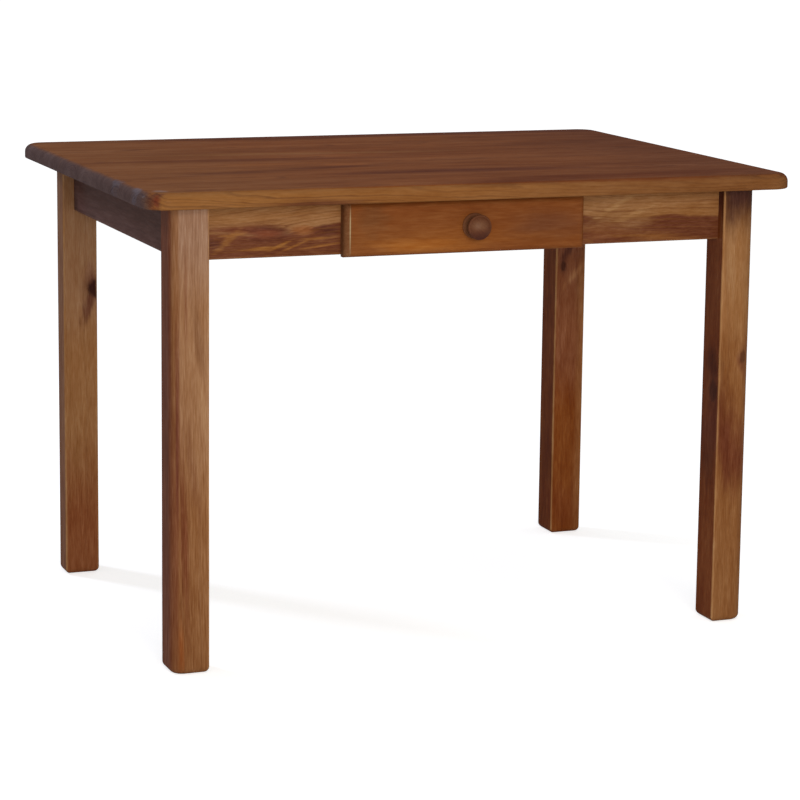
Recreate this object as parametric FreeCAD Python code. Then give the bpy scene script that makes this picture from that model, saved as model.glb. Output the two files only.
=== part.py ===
import FreeCAD, Part
import math
import os

# Tavern table with one drawer, in solid pine. Sizes are in millimetres.
# Frame: the origin is on the floor under the middle of the top, +X runs along the table to the
# right, +Y to the back and +Z up. The drawer opens towards -Y.

# ---------------------------------------------------------------- driving dimensions

# Top: boards glued edge to edge
TOP_LENGTH = 1100.0
TOP_WIDTH = 800.0
TABLE_HEIGHT = 760.0
TOP_THICK = 25.0
TOP_BOARD_COUNT = 6
TOP_CORNER_R = 38.0
TOP_UPPER_EDGE_R = 14.0
TOP_LOWER_EDGE_R = 3.0
TOP_PAST_LEG_ENDS = 50.0
TOP_PAST_LEG_SIDES = 40.0

# Legs: square, with one well-rounded outer corner
LEG_SIDE = 60.0
LEG_OUTER_R = 22.0
LEG_EDGE_R = 3.0
LEG_FOOT_R = 10.0
LEG_BLOCK_CHAMFER = 10.0

# Aprons: set back from the legs' outer faces
APRON_HEIGHT = 86.0
APRON_THICK = 22.0
APRON_SETBACK = 20.0
APRON_EDGE_R = 2.0

# Corner blocks and the hanger bolts through them
BLOCK_HEIGHT = 60.0
BLOCK_THICK = 28.0
BLOCK_BELOW_TOP = 8.0
BLOCK_LEG_GAP = 2.0
BLOCK_DADO_DEPTH = 6.0
BOLT_DIA = 8.0
BOLT_IN_LEG = 36.0
BOLT_PAST_NUT = 4.0
BOLT_TIP = 2.0
WASHER_DIA = 18.0
WASHER_THICK = 1.6
NUT_SIDES = 6
NUT_ACROSS_FLATS = 13.0
NUT_THICK = 6.5

# Buttons that hold the top down
BUTTON_LENGTH = 36.0
BUTTON_WIDTH = 26.0
BUTTON_THICK = 18.0
BUTTON_TONGUE = 7.0
BUTTON_TONGUE_THICK = 8.0
BUTTON_SIDE_PLAY = 2.0
BUTTON_END_PLAY = 0.5
BUTTON_PLAY_BELOW = 0.5
BUTTON_FROM_MIDDLE = 150.0
BUTTON_SCREW_LENGTH = 34.0

# Drawer front and the opening behind it
DRAWER_OFF_CENTRE = -16.0
DRAWER_FRONT_LENGTH = 410.0
DRAWER_FRONT_THICK = 20.0
DRAWER_FRONT_EDGE_R = 10.0
DRAWER_FRONT_BELOW_APRON = 3.0
DRAWER_FRONT_TOP_GAP = 2.0
DRAWER_FRONT_BACK_GAP = 0.5
DRAWER_FRONT_LAP = 24.0
UPPER_RAIL = 16.0
LOWER_RAIL = 15.0

# Drawer box
DRAWER_DEPTH = 400.0
DRAWER_WALL = 12.0
DRAWER_SIDE_GAP = 1.0
DRAWER_RUNNING_GAP = 0.3
DRAWER_HEAD_GAP = 1.7
DRAWER_SIDE_TOP_R = 2.0
DRAWER_BACK_BELOW_SIDES = 6.0
BOTTOM_THICK = 6.0
BOTTOM_ABOVE_EDGE = 8.0
BOTTOM_GROOVE_DEPTH = 5.0
BOTTOM_PLAY = 0.5

# Runners, kickers and the dowels that tie the runners to the aprons
RUNNER_SUPPORT = 14.0
RUNNER_GUIDE_WIDTH = 20.0
RUNNER_GUIDE_HEIGHT = 38.0
DOWEL_DIA = 8.0
DOWEL_IN_APRON = 12.0
DOWEL_IN_RUNNER = 16.0
DOWEL_CHAMFER = 1.0

# Turn button on the drawer's back
STOP_WIDTH = 16.0
STOP_REACH = 22.0
STOP_THICK = 8.0
STOP_GAP = 0.3
STOP_PIVOT_BELOW_TOP = 20.3

# Turned knob: radii, and distances out from the drawer front
KNOB_OFF_CENTRE = 12.0
KNOB_FLANGE_R = 20.5
KNOB_FLANGE_THICK = 3.5
KNOB_FLANGE_EDGE = 1.0
KNOB_WAIST_R = 12.5
KNOB_WAIST_OUT = 9.0
KNOB_CONE_R = 18.6
KNOB_CONE_OUT = 20.0
KNOB_BEAD_R = 20.0
KNOB_BEAD_WIDTH = 4.6
KNOB_DOME_R = 17.6
KNOB_LENGTH = 32.5

# Screws and holes
SCREW_DIA = 4.0
SCREW_HEAD_DIA = 8.0
SCREW_HEAD_HEIGHT = 2.6
SCREW_CROWN_DIA = 4.0
SCREW_POINT = 4.0
SCREW_TIP_DIA = 0.5
SCREW_IN_FRONT = 12.0
SCREW_IN_KNOB = 15.0
SCREW_IN_BACK = 9.0
FRONT_SCREW_SPREAD = 110.0
HOLE_CLEARANCE = 0.1
HOLE_EXTRA_DEPTH = 0.5
BLOCK_HOLE_CLEARANCE = 0.5

# How far an edge may lie from a plane and still count as lying in it
PLANE_TOLERANCE = 1e-4

# ---------------------------------------------------------------- sizes that follow from them

TOP_UNDERSIDE = TABLE_HEIGHT - TOP_THICK
APRON_BOTTOM = TOP_UNDERSIDE - APRON_HEIGHT
BOARD_WIDTH = TOP_WIDTH / TOP_BOARD_COUNT

LEG_OUT_X = TOP_LENGTH / 2 - TOP_PAST_LEG_ENDS
LEG_OUT_Y = TOP_WIDTH / 2 - TOP_PAST_LEG_SIDES
LEG_IN_X = LEG_OUT_X - LEG_SIDE
LEG_IN_Y = LEG_OUT_Y - LEG_SIDE

APRON_OUT_X = LEG_OUT_X - APRON_SETBACK
APRON_OUT_Y = LEG_OUT_Y - APRON_SETBACK
APRON_IN_X = APRON_OUT_X - APRON_THICK
APRON_IN_Y = APRON_OUT_Y - APRON_THICK

# In each corner u and v run from the aprons' inner faces towards the middle of the table. The
# leg stands inside the aprons by LEG_PROUD, and a line across the corner has one value of u + v.
LEG_PROUD = LEG_SIDE - APRON_SETBACK - APRON_THICK
LEG_FLAT_SUM = 2 * LEG_PROUD - LEG_BLOCK_CHAMFER
BLOCK_NEAR_SUM = LEG_FLAT_SUM + BLOCK_LEG_GAP * math.sqrt(2)
BLOCK_FAR_SUM = BLOCK_NEAR_SUM + BLOCK_THICK * math.sqrt(2)
BLOCK_TOP = TOP_UNDERSIDE - BLOCK_BELOW_TOP
BLOCK_BOTTOM = BLOCK_TOP - BLOCK_HEIGHT
BOLT_Z = (BLOCK_TOP + BLOCK_BOTTOM) / 2

OPENING_HALF = DRAWER_FRONT_LENGTH / 2 - DRAWER_FRONT_LAP
OPENING_BOTTOM = APRON_BOTTOM + LOWER_RAIL
OPENING_TOP = TOP_UNDERSIDE - UPPER_RAIL

FRONT_BACK_Y = -APRON_OUT_Y - DRAWER_FRONT_BACK_GAP
FRONT_FACE_Y = FRONT_BACK_Y - DRAWER_FRONT_THICK
FRONT_BOTTOM = APRON_BOTTOM - DRAWER_FRONT_BELOW_APRON
FRONT_TOP = TOP_UNDERSIDE - DRAWER_FRONT_TOP_GAP

BOX_HALF = OPENING_HALF - DRAWER_SIDE_GAP
BOX_INNER_HALF = BOX_HALF - DRAWER_WALL
BOX_BOTTOM = OPENING_BOTTOM + DRAWER_RUNNING_GAP
BOX_TOP = OPENING_TOP - DRAWER_HEAD_GAP
BOX_BACK_Y = FRONT_BACK_Y + DRAWER_DEPTH
INNER_FRONT_Y = FRONT_BACK_Y + DRAWER_WALL
DRAWER_BACK_Y = BOX_BACK_Y - DRAWER_WALL
DRAWER_BACK_TOP = BOX_TOP - DRAWER_BACK_BELOW_SIDES
PANEL_BOTTOM = BOX_BOTTOM + BOTTOM_ABOVE_EDGE
PANEL_TOP = PANEL_BOTTOM + BOTTOM_THICK

STOP_BACK_Y = DRAWER_BACK_Y - STOP_GAP
STOP_FACE_Y = STOP_BACK_Y - STOP_THICK
STOP_PIVOT_Z = BOX_TOP - STOP_PIVOT_BELOW_TOP

KNOB_X = DRAWER_OFF_CENTRE + KNOB_OFF_CENTRE
KNOB_Z = (FRONT_BOTTOM + FRONT_TOP) / 2
FRONT_SCREW_Z = (BOX_BOTTOM + BOX_TOP) / 2

CORNERS = {
    "front_left": (-1, -1),
    "front_right": (1, -1),
    "back_left": (-1, 1),
    "back_right": (1, 1),
}
SIDES = {"left": -1, "right": 1}
ENDS = {"front": -1, "back": 1}
ORIGIN = FreeCAD.Vector(0, 0, 0)
AXIS_X = FreeCAD.Vector(1, 0, 0)
AXIS_Y = FreeCAD.Vector(0, 1, 0)
AXIS_Z = FreeCAD.Vector(0, 0, 1)


# ---------------------------------------------------------------- building helpers


def box(x_range, y_range, z_range):
    """Return a box between the two values of each range, given in either order."""
    lows = [min(pair) for pair in (x_range, y_range, z_range)]
    spans = [abs(pair[1] - pair[0]) for pair in (x_range, y_range, z_range)]
    return Part.makeBox(*spans, FreeCAD.Vector(*lows))


def prism(points, z_low, z_high):
    """Return the straight prism over a plan outline of (x, y) points."""
    corners = [FreeCAD.Vector(x, y, z_low) for x, y in points]
    outline = Part.makePolygon(corners + corners[:1])
    return Part.Face(outline).extrude(FreeCAD.Vector(0, 0, z_high - z_low))


def rounded_corners(solid, radius_at):
    """Round the upright edges of a box-like solid.

    radius_at maps the signs of an edge's x and y, as seen from the solid's middle, to a radius.
    """
    middle = solid.BoundBox.Center
    for signs, radius in radius_at.items():
        for edge in solid.Edges:
            place = edge.BoundBox
            upright = place.ZLength > solid.BoundBox.ZLength / 2
            offset = (place.Center.x - middle.x) * signs[0], (place.Center.y - middle.y) * signs[1]
            if upright and place.XLength < radius and min(offset) > 0:
                solid = solid.makeFillet(radius, [edge])
                break
    return solid


def edges_at(solid, axis, value):
    """Return the edges that lie whole in the plane where the axis ("X", "Y" or "Z") is value."""
    found = []
    for edge in solid.Edges:
        low = getattr(edge.BoundBox, axis + "Min")
        high = getattr(edge.BoundBox, axis + "Max")
        if max(abs(low - value), abs(high - value)) < PLANE_TOLERANCE:
            found.append(edge)
    return found


def hole(start, direction, diameter, depth):
    """Return the cylinder to cut for a drilled hole, running a little out of its mouth."""
    mouth = start - direction * HOLE_EXTRA_DEPTH
    return Part.makeCylinder(diameter / 2, depth + HOLE_EXTRA_DEPTH, mouth, direction)


def screw_hole(seat, direction, length):
    """Return the hole for a screw's shank of that length under its head."""
    diameter = SCREW_DIA + 2 * HOLE_CLEARANCE
    return hole(seat, direction, diameter, length + HOLE_EXTRA_DEPTH)


def domed_screw(seat, direction, length):
    """Return a wood screw with a domed head, its head standing on the seat point."""
    shank = Part.makeCylinder(SCREW_DIA / 2, length - SCREW_POINT, seat, direction)
    point_start = seat + direction * (length - SCREW_POINT)
    tip_r = SCREW_TIP_DIA / 2
    point = Part.makeCone(SCREW_DIA / 2, tip_r, SCREW_POINT, point_start, direction)
    crown = seat - direction * SCREW_HEAD_HEIGHT
    crown_r = SCREW_CROWN_DIA / 2
    head = Part.makeCone(crown_r, SCREW_HEAD_DIA / 2, SCREW_HEAD_HEIGHT, crown, direction)
    return shank.fuse([point, head]).removeSplitter()


def mirrored(shape, sign_x, sign_y):
    """Return a copy of a front-left piece for the corner with these signs."""
    if sign_x > 0:
        shape = shape.mirror(ORIGIN, AXIS_X)
    if sign_y > 0:
        shape = shape.mirror(ORIGIN, AXIS_Y)
    return shape


def corner_point(u, v, z):
    """Return the point of the front-left corner at u and v from the aprons' inner faces."""
    return FreeCAD.Vector(-APRON_IN_X + u, -APRON_IN_Y + v, z)


# ---------------------------------------------------------------- top


def button_seat(sign_x, sign_y):
    """Return where a button's screw enters it from below."""
    x = sign_x * (APRON_IN_X - BUTTON_LENGTH / 2)
    return FreeCAD.Vector(x, sign_y * BUTTON_FROM_MIDDLE, TOP_UNDERSIDE - BUTTON_THICK)


def make_top_boards():
    """Return the top's boards, front to back, with the slab's rounded outline and edges."""
    half_x = TOP_LENGTH / 2
    half_y = TOP_WIDTH / 2
    slab = box((-half_x, half_x), (-half_y, half_y), (TOP_UNDERSIDE, TABLE_HEIGHT))
    slab = rounded_corners(slab, {signs: TOP_CORNER_R for signs in CORNERS.values()})
    slab = slab.makeFillet(TOP_UPPER_EDGE_R, edges_at(slab, "Z", TABLE_HEIGHT))
    slab = slab.makeFillet(TOP_LOWER_EDGE_R, edges_at(slab, "Z", TOP_UNDERSIDE))
    for sign_x in SIDES.values():
        for sign_y in ENDS.values():
            seat = button_seat(sign_x, sign_y)
            slab = slab.cut(screw_hole(seat, AXIS_Z, BUTTON_SCREW_LENGTH))
    boards = []
    for index in range(TOP_BOARD_COUNT):
        front = -half_y + index * BOARD_WIDTH
        strip = box((-half_x, half_x), (front, front + BOARD_WIDTH), (0, TABLE_HEIGHT))
        boards.append(slab.common(strip))
    return boards


def make_top_button():
    """Return the front-left button: a block with a tongue in the side apron's mortise."""
    screw_seat = button_seat(-1, -1)
    y_range = (screw_seat.y - BUTTON_WIDTH / 2, screw_seat.y + BUTTON_WIDTH / 2)
    bottom = TOP_UNDERSIDE - BUTTON_THICK
    body = box((-APRON_IN_X, -APRON_IN_X + BUTTON_LENGTH), y_range, (bottom, TOP_UNDERSIDE))
    tongue_x = (-APRON_IN_X - BUTTON_TONGUE, -APRON_IN_X)
    tongue = box(tongue_x, y_range, (bottom, bottom + BUTTON_TONGUE_THICK))
    button = body.fuse(tongue).removeSplitter()
    return button.cut(screw_hole(screw_seat, AXIS_Z, BUTTON_THICK))


def button_mortise(sign_x, sign_y):
    """Return the cut in a side apron for one button's tongue, open a little below it."""
    y_middle = sign_y * BUTTON_FROM_MIDDLE
    half = BUTTON_WIDTH / 2 + BUTTON_SIDE_PLAY
    bottom = TOP_UNDERSIDE - BUTTON_THICK
    x_range = (sign_x * APRON_IN_X, sign_x * (APRON_IN_X + BUTTON_TONGUE + BUTTON_END_PLAY))
    z_range = (bottom - BUTTON_PLAY_BELOW, bottom + BUTTON_TONGUE_THICK)
    return box(x_range, (y_middle - half, y_middle + half), z_range)


# ---------------------------------------------------------------- legs and corner joints


def bolt_axis_point(corner_sum):
    """Return the point of the front-left bolt's axis where u + v has this value."""
    return corner_point(corner_sum / 2, corner_sum / 2, BOLT_Z)


BOLT_INWARD = FreeCAD.Vector(1, 1, 0).normalize()
BOLT_OUTWARD = -BOLT_INWARD


def make_leg():
    """Return the front-left leg, with its bolt hole and the flat that faces the block."""
    outer_corner = (-1, -1)
    leg = box((-LEG_OUT_X, -LEG_IN_X), (-LEG_OUT_Y, -LEG_IN_Y), (0, TOP_UNDERSIDE))
    leg = rounded_corners(leg, {outer_corner: LEG_OUTER_R})
    leg = leg.makeFillet(LEG_FOOT_R, edges_at(leg, "Z", 0))
    eased = {signs: LEG_EDGE_R for signs in CORNERS.values() if signs != outer_corner}
    leg = rounded_corners(leg, eased)
    past = LEG_PROUD + LEG_BLOCK_CHAMFER
    near = LEG_FLAT_SUM - past
    flat = [corner_point(u, v, 0) for u, v in ((near, past), (past, near), (past, past))]
    leg = leg.cut(prism([(p.x, p.y) for p in flat], APRON_BOTTOM, TOP_UNDERSIDE))
    bolt_hole_dia = BOLT_DIA + 2 * HOLE_CLEARANCE
    leg_flat = bolt_axis_point(LEG_FLAT_SUM)
    return leg.cut(hole(leg_flat, BOLT_OUTWARD, bolt_hole_dia, BOLT_IN_LEG + HOLE_EXTRA_DEPTH))


def block_outline():
    """Return the front-left corner block's plan, reaching into the dados of both aprons."""
    deep = -BLOCK_DADO_DEPTH
    near = BLOCK_NEAR_SUM - deep
    far = BLOCK_FAR_SUM - deep
    corners = ((deep, near), (near, deep), (far, deep), (deep, far))
    points = [corner_point(u, v, 0) for u, v in corners]
    return [(point.x, point.y) for point in points]


def make_corner_block():
    """Return the front-left corner block with its bolt hole."""
    block = prism(block_outline(), BLOCK_BOTTOM, BLOCK_TOP)
    diameter = BOLT_DIA + 2 * BLOCK_HOLE_CLEARANCE
    far_face = bolt_axis_point(BLOCK_FAR_SUM)
    return block.cut(hole(far_face, BOLT_OUTWARD, diameter, BLOCK_THICK + HOLE_EXTRA_DEPTH))


def make_hanger_bolt():
    """Return the front-left hanger bolt, from inside the leg to just past its nut."""
    start = bolt_axis_point(LEG_FLAT_SUM) + BOLT_OUTWARD * BOLT_IN_LEG
    inside = BOLT_IN_LEG + BLOCK_LEG_GAP + BLOCK_THICK
    length = inside + WASHER_THICK + NUT_THICK + BOLT_PAST_NUT
    narrow = BOLT_DIA / 2 - BOLT_TIP
    point = Part.makeCone(narrow, BOLT_DIA / 2, BOLT_TIP, start, BOLT_INWARD)
    shank_start = start + BOLT_INWARD * BOLT_TIP
    shank = Part.makeCylinder(BOLT_DIA / 2, length - BOLT_TIP, shank_start, BOLT_INWARD)
    return point.fuse(shank).removeSplitter()


def make_washer():
    """Return the front-left washer, flat on the block's inner face."""
    seat = bolt_axis_point(BLOCK_FAR_SUM)
    disc = Part.makeCylinder(WASHER_DIA / 2, WASHER_THICK, seat, BOLT_INWARD)
    bore = hole(seat, BOLT_INWARD, BOLT_DIA + 2 * HOLE_CLEARANCE, WASHER_THICK + HOLE_EXTRA_DEPTH)
    return disc.cut(bore)


def make_nut():
    """Return the front-left hexagon nut, flat on its washer."""
    seat = bolt_axis_point(BLOCK_FAR_SUM) + BOLT_INWARD * WASHER_THICK
    corner_r = NUT_ACROSS_FLATS / 2 / math.cos(math.pi / NUT_SIDES)
    points = []
    for step in range(NUT_SIDES + 1):
        angle = 2 * math.pi * step / NUT_SIDES
        sideways = FreeCAD.Vector(1, -1, 0).normalize() * (corner_r * math.cos(angle))
        points.append(seat + sideways + AXIS_Z * (corner_r * math.sin(angle)))
    nut = Part.Face(Part.makePolygon(points)).extrude(BOLT_INWARD * NUT_THICK)
    bore = hole(seat, BOLT_INWARD, BOLT_DIA + 2 * HOLE_CLEARANCE, NUT_THICK + HOLE_EXTRA_DEPTH)
    return nut.cut(bore)


# ---------------------------------------------------------------- aprons and drawer supports


def cut_dados(apron, end_signs):
    """Cut the corner blocks' dados into an apron that meets these corners."""
    for signs in end_signs:
        block = prism(block_outline(), BLOCK_BOTTOM, BLOCK_TOP)
        apron = apron.cut(mirrored(block, *signs))
    return apron


def dowel_start(sign_x, sign_y):
    """Return the middle of a runner dowel where the runner meets its apron."""
    x = DRAWER_OFF_CENTRE + sign_x * (OPENING_HALF + RUNNER_GUIDE_WIDTH / 2)
    return FreeCAD.Vector(x, sign_y * APRON_IN_Y, APRON_BOTTOM + LOWER_RAIL / 2)


def cut_dowel_holes(piece, sign_x, sign_y):
    """Drill one runner dowel's hole into an apron or a runner."""
    outward = AXIS_Y * sign_y
    length = DOWEL_IN_APRON + DOWEL_IN_RUNNER + 2 * HOLE_EXTRA_DEPTH
    inner_end = dowel_start(sign_x, sign_y) - outward * (DOWEL_IN_RUNNER + HOLE_EXTRA_DEPTH)
    radius = DOWEL_DIA / 2 + HOLE_CLEARANCE
    return piece.cut(Part.makeCylinder(radius, length, inner_end, outward))


def make_long_apron(sign_y):
    """Return the front (-1) or back (+1) apron; the front one has the drawer's opening."""
    y_range = (sign_y * APRON_IN_Y, sign_y * APRON_OUT_Y)
    apron = box((-LEG_IN_X, LEG_IN_X), y_range, (APRON_BOTTOM, TOP_UNDERSIDE))
    lower = [edge for edge in edges_at(apron, "Z", APRON_BOTTOM) if edge.Length > APRON_THICK]
    apron = apron.makeFillet(APRON_EDGE_R, lower)
    apron = cut_dados(apron, [signs for signs in CORNERS.values() if signs[1] == sign_y])
    for sign_x in SIDES.values():
        apron = cut_dowel_holes(apron, sign_x, sign_y)
    if sign_y < 0:
        x_range = (DRAWER_OFF_CENTRE - OPENING_HALF, DRAWER_OFF_CENTRE + OPENING_HALF)
        apron = apron.cut(box(x_range, y_range, (OPENING_BOTTOM, OPENING_TOP)))
    return apron


def make_short_apron(sign_x):
    """Return the left (-1) or right (+1) apron with its dados and button mortises."""
    x_range = (sign_x * APRON_IN_X, sign_x * APRON_OUT_X)
    apron = box(x_range, (-LEG_IN_Y, LEG_IN_Y), (APRON_BOTTOM, TOP_UNDERSIDE))
    lower = [edge for edge in edges_at(apron, "Z", APRON_BOTTOM) if edge.Length > APRON_THICK]
    apron = apron.makeFillet(APRON_EDGE_R, lower)
    apron = cut_dados(apron, [signs for signs in CORNERS.values() if signs[0] == sign_x])
    for sign_y in ENDS.values():
        apron = apron.cut(button_mortise(sign_x, sign_y))
    return apron


def make_runner(sign_x):
    """Return one L-section runner: a ledge under the drawer's side and a guide beside it."""
    ledge_x = OPENING_HALF - RUNNER_SUPPORT
    guide_x = OPENING_HALF
    outer_x = OPENING_HALF + RUNNER_GUIDE_WIDTH
    guide_top = OPENING_BOTTOM + RUNNER_GUIDE_HEIGHT
    section = (
        (ledge_x, APRON_BOTTOM),
        (outer_x, APRON_BOTTOM),
        (outer_x, guide_top),
        (guide_x, guide_top),
        (guide_x, OPENING_BOTTOM),
        (ledge_x, OPENING_BOTTOM),
    )
    corners = []
    for x, z in section:
        corners.append(FreeCAD.Vector(DRAWER_OFF_CENTRE + sign_x * x, -APRON_IN_Y, z))
    outline = Part.makePolygon(corners + corners[:1])
    runner = Part.Face(outline).extrude(AXIS_Y * (2 * APRON_IN_Y))
    for sign_y in ENDS.values():
        runner = cut_dowel_holes(runner, sign_x, sign_y)
    return runner


def make_kicker(sign_x):
    """Return one kicker, which keeps the open drawer's back from rising."""
    near = DRAWER_OFF_CENTRE + sign_x * (OPENING_HALF - RUNNER_SUPPORT)
    far = DRAWER_OFF_CENTRE + sign_x * (OPENING_HALF + RUNNER_GUIDE_WIDTH)
    return box((near, far), (-APRON_IN_Y, APRON_IN_Y), (OPENING_TOP, TOP_UNDERSIDE))


def make_dowel(sign_x, sign_y):
    """Return one runner dowel with chamfered ends."""
    outward = AXIS_Y * sign_y
    start = dowel_start(sign_x, sign_y) - outward * DOWEL_IN_RUNNER
    length = DOWEL_IN_RUNNER + DOWEL_IN_APRON
    dowel = Part.makeCylinder(DOWEL_DIA / 2, length, start, outward)
    ends = [edge for edge in dowel.Edges if edge.Closed and edge.BoundBox.YLength < DOWEL_CHAMFER]
    return dowel.makeChamfer(DOWEL_CHAMFER, ends)


# ---------------------------------------------------------------- drawer


def screw_seat(x, z):
    """Return a point on the back of the drawer's inner front, where a screw's head stands."""
    return FreeCAD.Vector(x, INNER_FRONT_Y, z)


def front_screw_seat(sign_x):
    """Return the seat of one of the two screws that hold the overlay front."""
    return screw_seat(DRAWER_OFF_CENTRE + sign_x * FRONT_SCREW_SPREAD, FRONT_SCREW_Z)


def front_screw_length():
    """Return the length under the head of the screws that hold the overlay front."""
    return DRAWER_WALL + SCREW_IN_FRONT


def knob_screw_length():
    """Return the length under the head of the knob's screw."""
    return DRAWER_WALL + DRAWER_FRONT_THICK + SCREW_IN_KNOB


def cut_front_holes(piece):
    """Drill the overlay front's and the knob's screw holes into a piece of the drawer."""
    for sign_x in SIDES.values():
        piece = piece.cut(screw_hole(front_screw_seat(sign_x), -AXIS_Y, front_screw_length()))
    return piece.cut(screw_hole(screw_seat(KNOB_X, KNOB_Z), -AXIS_Y, knob_screw_length()))


def make_drawer_front():
    """Return the overlay front with its rounded front edges."""
    half = DRAWER_FRONT_LENGTH / 2
    x_range = (DRAWER_OFF_CENTRE - half, DRAWER_OFF_CENTRE + half)
    front = box(x_range, (FRONT_FACE_Y, FRONT_BACK_Y), (FRONT_BOTTOM, FRONT_TOP))
    front = front.makeFillet(DRAWER_FRONT_EDGE_R, edges_at(front, "Y", FRONT_FACE_Y))
    return cut_front_holes(front)


def bottom_groove():
    """Return the space cut for the bottom panel into the sides and the inner front."""
    half = BOX_INNER_HALF + BOTTOM_GROOVE_DEPTH
    x_range = (DRAWER_OFF_CENTRE - half, DRAWER_OFF_CENTRE + half)
    return box(x_range, (INNER_FRONT_Y - BOTTOM_GROOVE_DEPTH, BOX_BACK_Y), (PANEL_BOTTOM, PANEL_TOP))


def make_drawer_side(sign_x):
    """Return one side of the drawer box."""
    inner = DRAWER_OFF_CENTRE + sign_x * BOX_INNER_HALF
    outer = DRAWER_OFF_CENTRE + sign_x * BOX_HALF
    side = box((inner, outer), (FRONT_BACK_Y, BOX_BACK_Y), (BOX_BOTTOM, BOX_TOP))
    upper = [edge for edge in edges_at(side, "Z", BOX_TOP) if edge.Length > DRAWER_WALL]
    side = side.makeFillet(DRAWER_SIDE_TOP_R, upper)
    return side.cut(bottom_groove())


def across_drawer(y_range, z_range):
    """Return a board that stands between the drawer's sides."""
    x_range = (DRAWER_OFF_CENTRE - BOX_INNER_HALF, DRAWER_OFF_CENTRE + BOX_INNER_HALF)
    return box(x_range, y_range, z_range)


def make_inner_front():
    """Return the box's own front, behind the overlay front."""
    board = across_drawer((FRONT_BACK_Y, INNER_FRONT_Y), (BOX_BOTTOM, BOX_TOP))
    return cut_front_holes(board.cut(bottom_groove()))


def stop_seat():
    """Return the point where the turn button's screw enters the drawer's back."""
    return FreeCAD.Vector(DRAWER_OFF_CENTRE, STOP_FACE_Y, STOP_PIVOT_Z)


def stop_screw_length():
    """Return the length under the head of the turn button's screw."""
    return STOP_THICK + STOP_GAP + SCREW_IN_BACK


def make_drawer_back():
    """Return the drawer's back, which stands on the bottom panel."""
    board = across_drawer((DRAWER_BACK_Y, BOX_BACK_Y), (PANEL_TOP, DRAWER_BACK_TOP))
    return board.cut(screw_hole(stop_seat(), AXIS_Y, stop_screw_length()))


def make_drawer_bottom():
    """Return the bottom panel, with a little play in its grooves."""
    half = BOX_INNER_HALF + BOTTOM_GROOVE_DEPTH - BOTTOM_PLAY
    x_range = (DRAWER_OFF_CENTRE - half, DRAWER_OFF_CENTRE + half)
    front = INNER_FRONT_Y - BOTTOM_GROOVE_DEPTH + BOTTOM_PLAY
    return box(x_range, (front, BOX_BACK_Y), (PANEL_BOTTOM, PANEL_TOP))


def make_stop_button():
    """Return the turn button, upright, with both its ends fully rounded."""
    radius = STOP_WIDTH / 2
    pivot = FreeCAD.Vector(DRAWER_OFF_CENTRE, STOP_FACE_Y, STOP_PIVOT_Z)
    tip = pivot + AXIS_Z * STOP_REACH
    lower_end = Part.makeCylinder(radius, STOP_THICK, pivot, AXIS_Y)
    upper_end = Part.makeCylinder(radius, STOP_THICK, tip, AXIS_Y)
    x_range = (pivot.x - radius, pivot.x + radius)
    bar = box(x_range, (STOP_FACE_Y, STOP_BACK_Y), (pivot.z, tip.z))
    button = bar.fuse([lower_end, upper_end]).removeSplitter()
    return button.cut(screw_hole(stop_seat(), AXIS_Y, STOP_THICK))


def arc(start, through, end):
    """Return the edge of an arc through three (radius, out) points."""
    points = [FreeCAD.Vector(radius, 0, out) for radius, out in (start, through, end)]
    return Part.Arc(*points).toShape()


def line(start, end):
    """Return the edge between two (radius, out) points."""
    return Part.makeLine(FreeCAD.Vector(start[0], 0, start[1]), FreeCAD.Vector(end[0], 0, end[1]))


def make_knob():
    """Return the turned knob: flange, waist, cone, bead and domed face."""
    flange_in = KNOB_FLANGE_R - KNOB_FLANGE_EDGE
    flange_top = (flange_in, KNOB_FLANGE_THICK)
    neck = (KNOB_WAIST_R + KNOB_FLANGE_EDGE, KNOB_FLANGE_THICK)
    waist = (KNOB_WAIST_R, KNOB_WAIST_OUT)
    hollow = (KNOB_WAIST_R, (KNOB_FLANGE_THICK + KNOB_WAIST_OUT) / 2)
    cone_top = (KNOB_CONE_R, KNOB_CONE_OUT)
    bead_end = (KNOB_CONE_R, KNOB_CONE_OUT + KNOB_BEAD_WIDTH)
    dome_start = (KNOB_DOME_R, bead_end[1])
    dome_rise = KNOB_LENGTH - bead_end[1]
    sphere_r = (KNOB_DOME_R ** 2 + dome_rise ** 2) / (2 * dome_rise)
    half_angle = math.asin(KNOB_DOME_R / sphere_r) / 2
    dome_middle = (
        sphere_r * math.sin(half_angle),
        KNOB_LENGTH - sphere_r * (1 - math.cos(half_angle)),
    )
    outline = [
        line((0, 0), (flange_in, 0)),
        arc((flange_in, 0), (KNOB_FLANGE_R, KNOB_FLANGE_THICK / 2), flange_top),
        line(flange_top, neck),
        arc(neck, hollow, waist),
        line(waist, cone_top),
        arc(cone_top, (KNOB_BEAD_R, KNOB_CONE_OUT + KNOB_BEAD_WIDTH / 2), bead_end),
        line(bead_end, dome_start),
        arc(dome_start, dome_middle, (0, KNOB_LENGTH)),
        line((0, KNOB_LENGTH), (0, 0)),
    ]
    knob = Part.Face(Part.Wire(outline)).revolve(ORIGIN, AXIS_Z, 360)
    knob.rotate(ORIGIN, AXIS_X, 90)
    knob.translate(FreeCAD.Vector(KNOB_X, FRONT_FACE_Y, KNOB_Z))
    return knob.cut(screw_hole(screw_seat(KNOB_X, KNOB_Z), -AXIS_Y, knob_screw_length()))


# ---------------------------------------------------------------- the whole table


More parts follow.
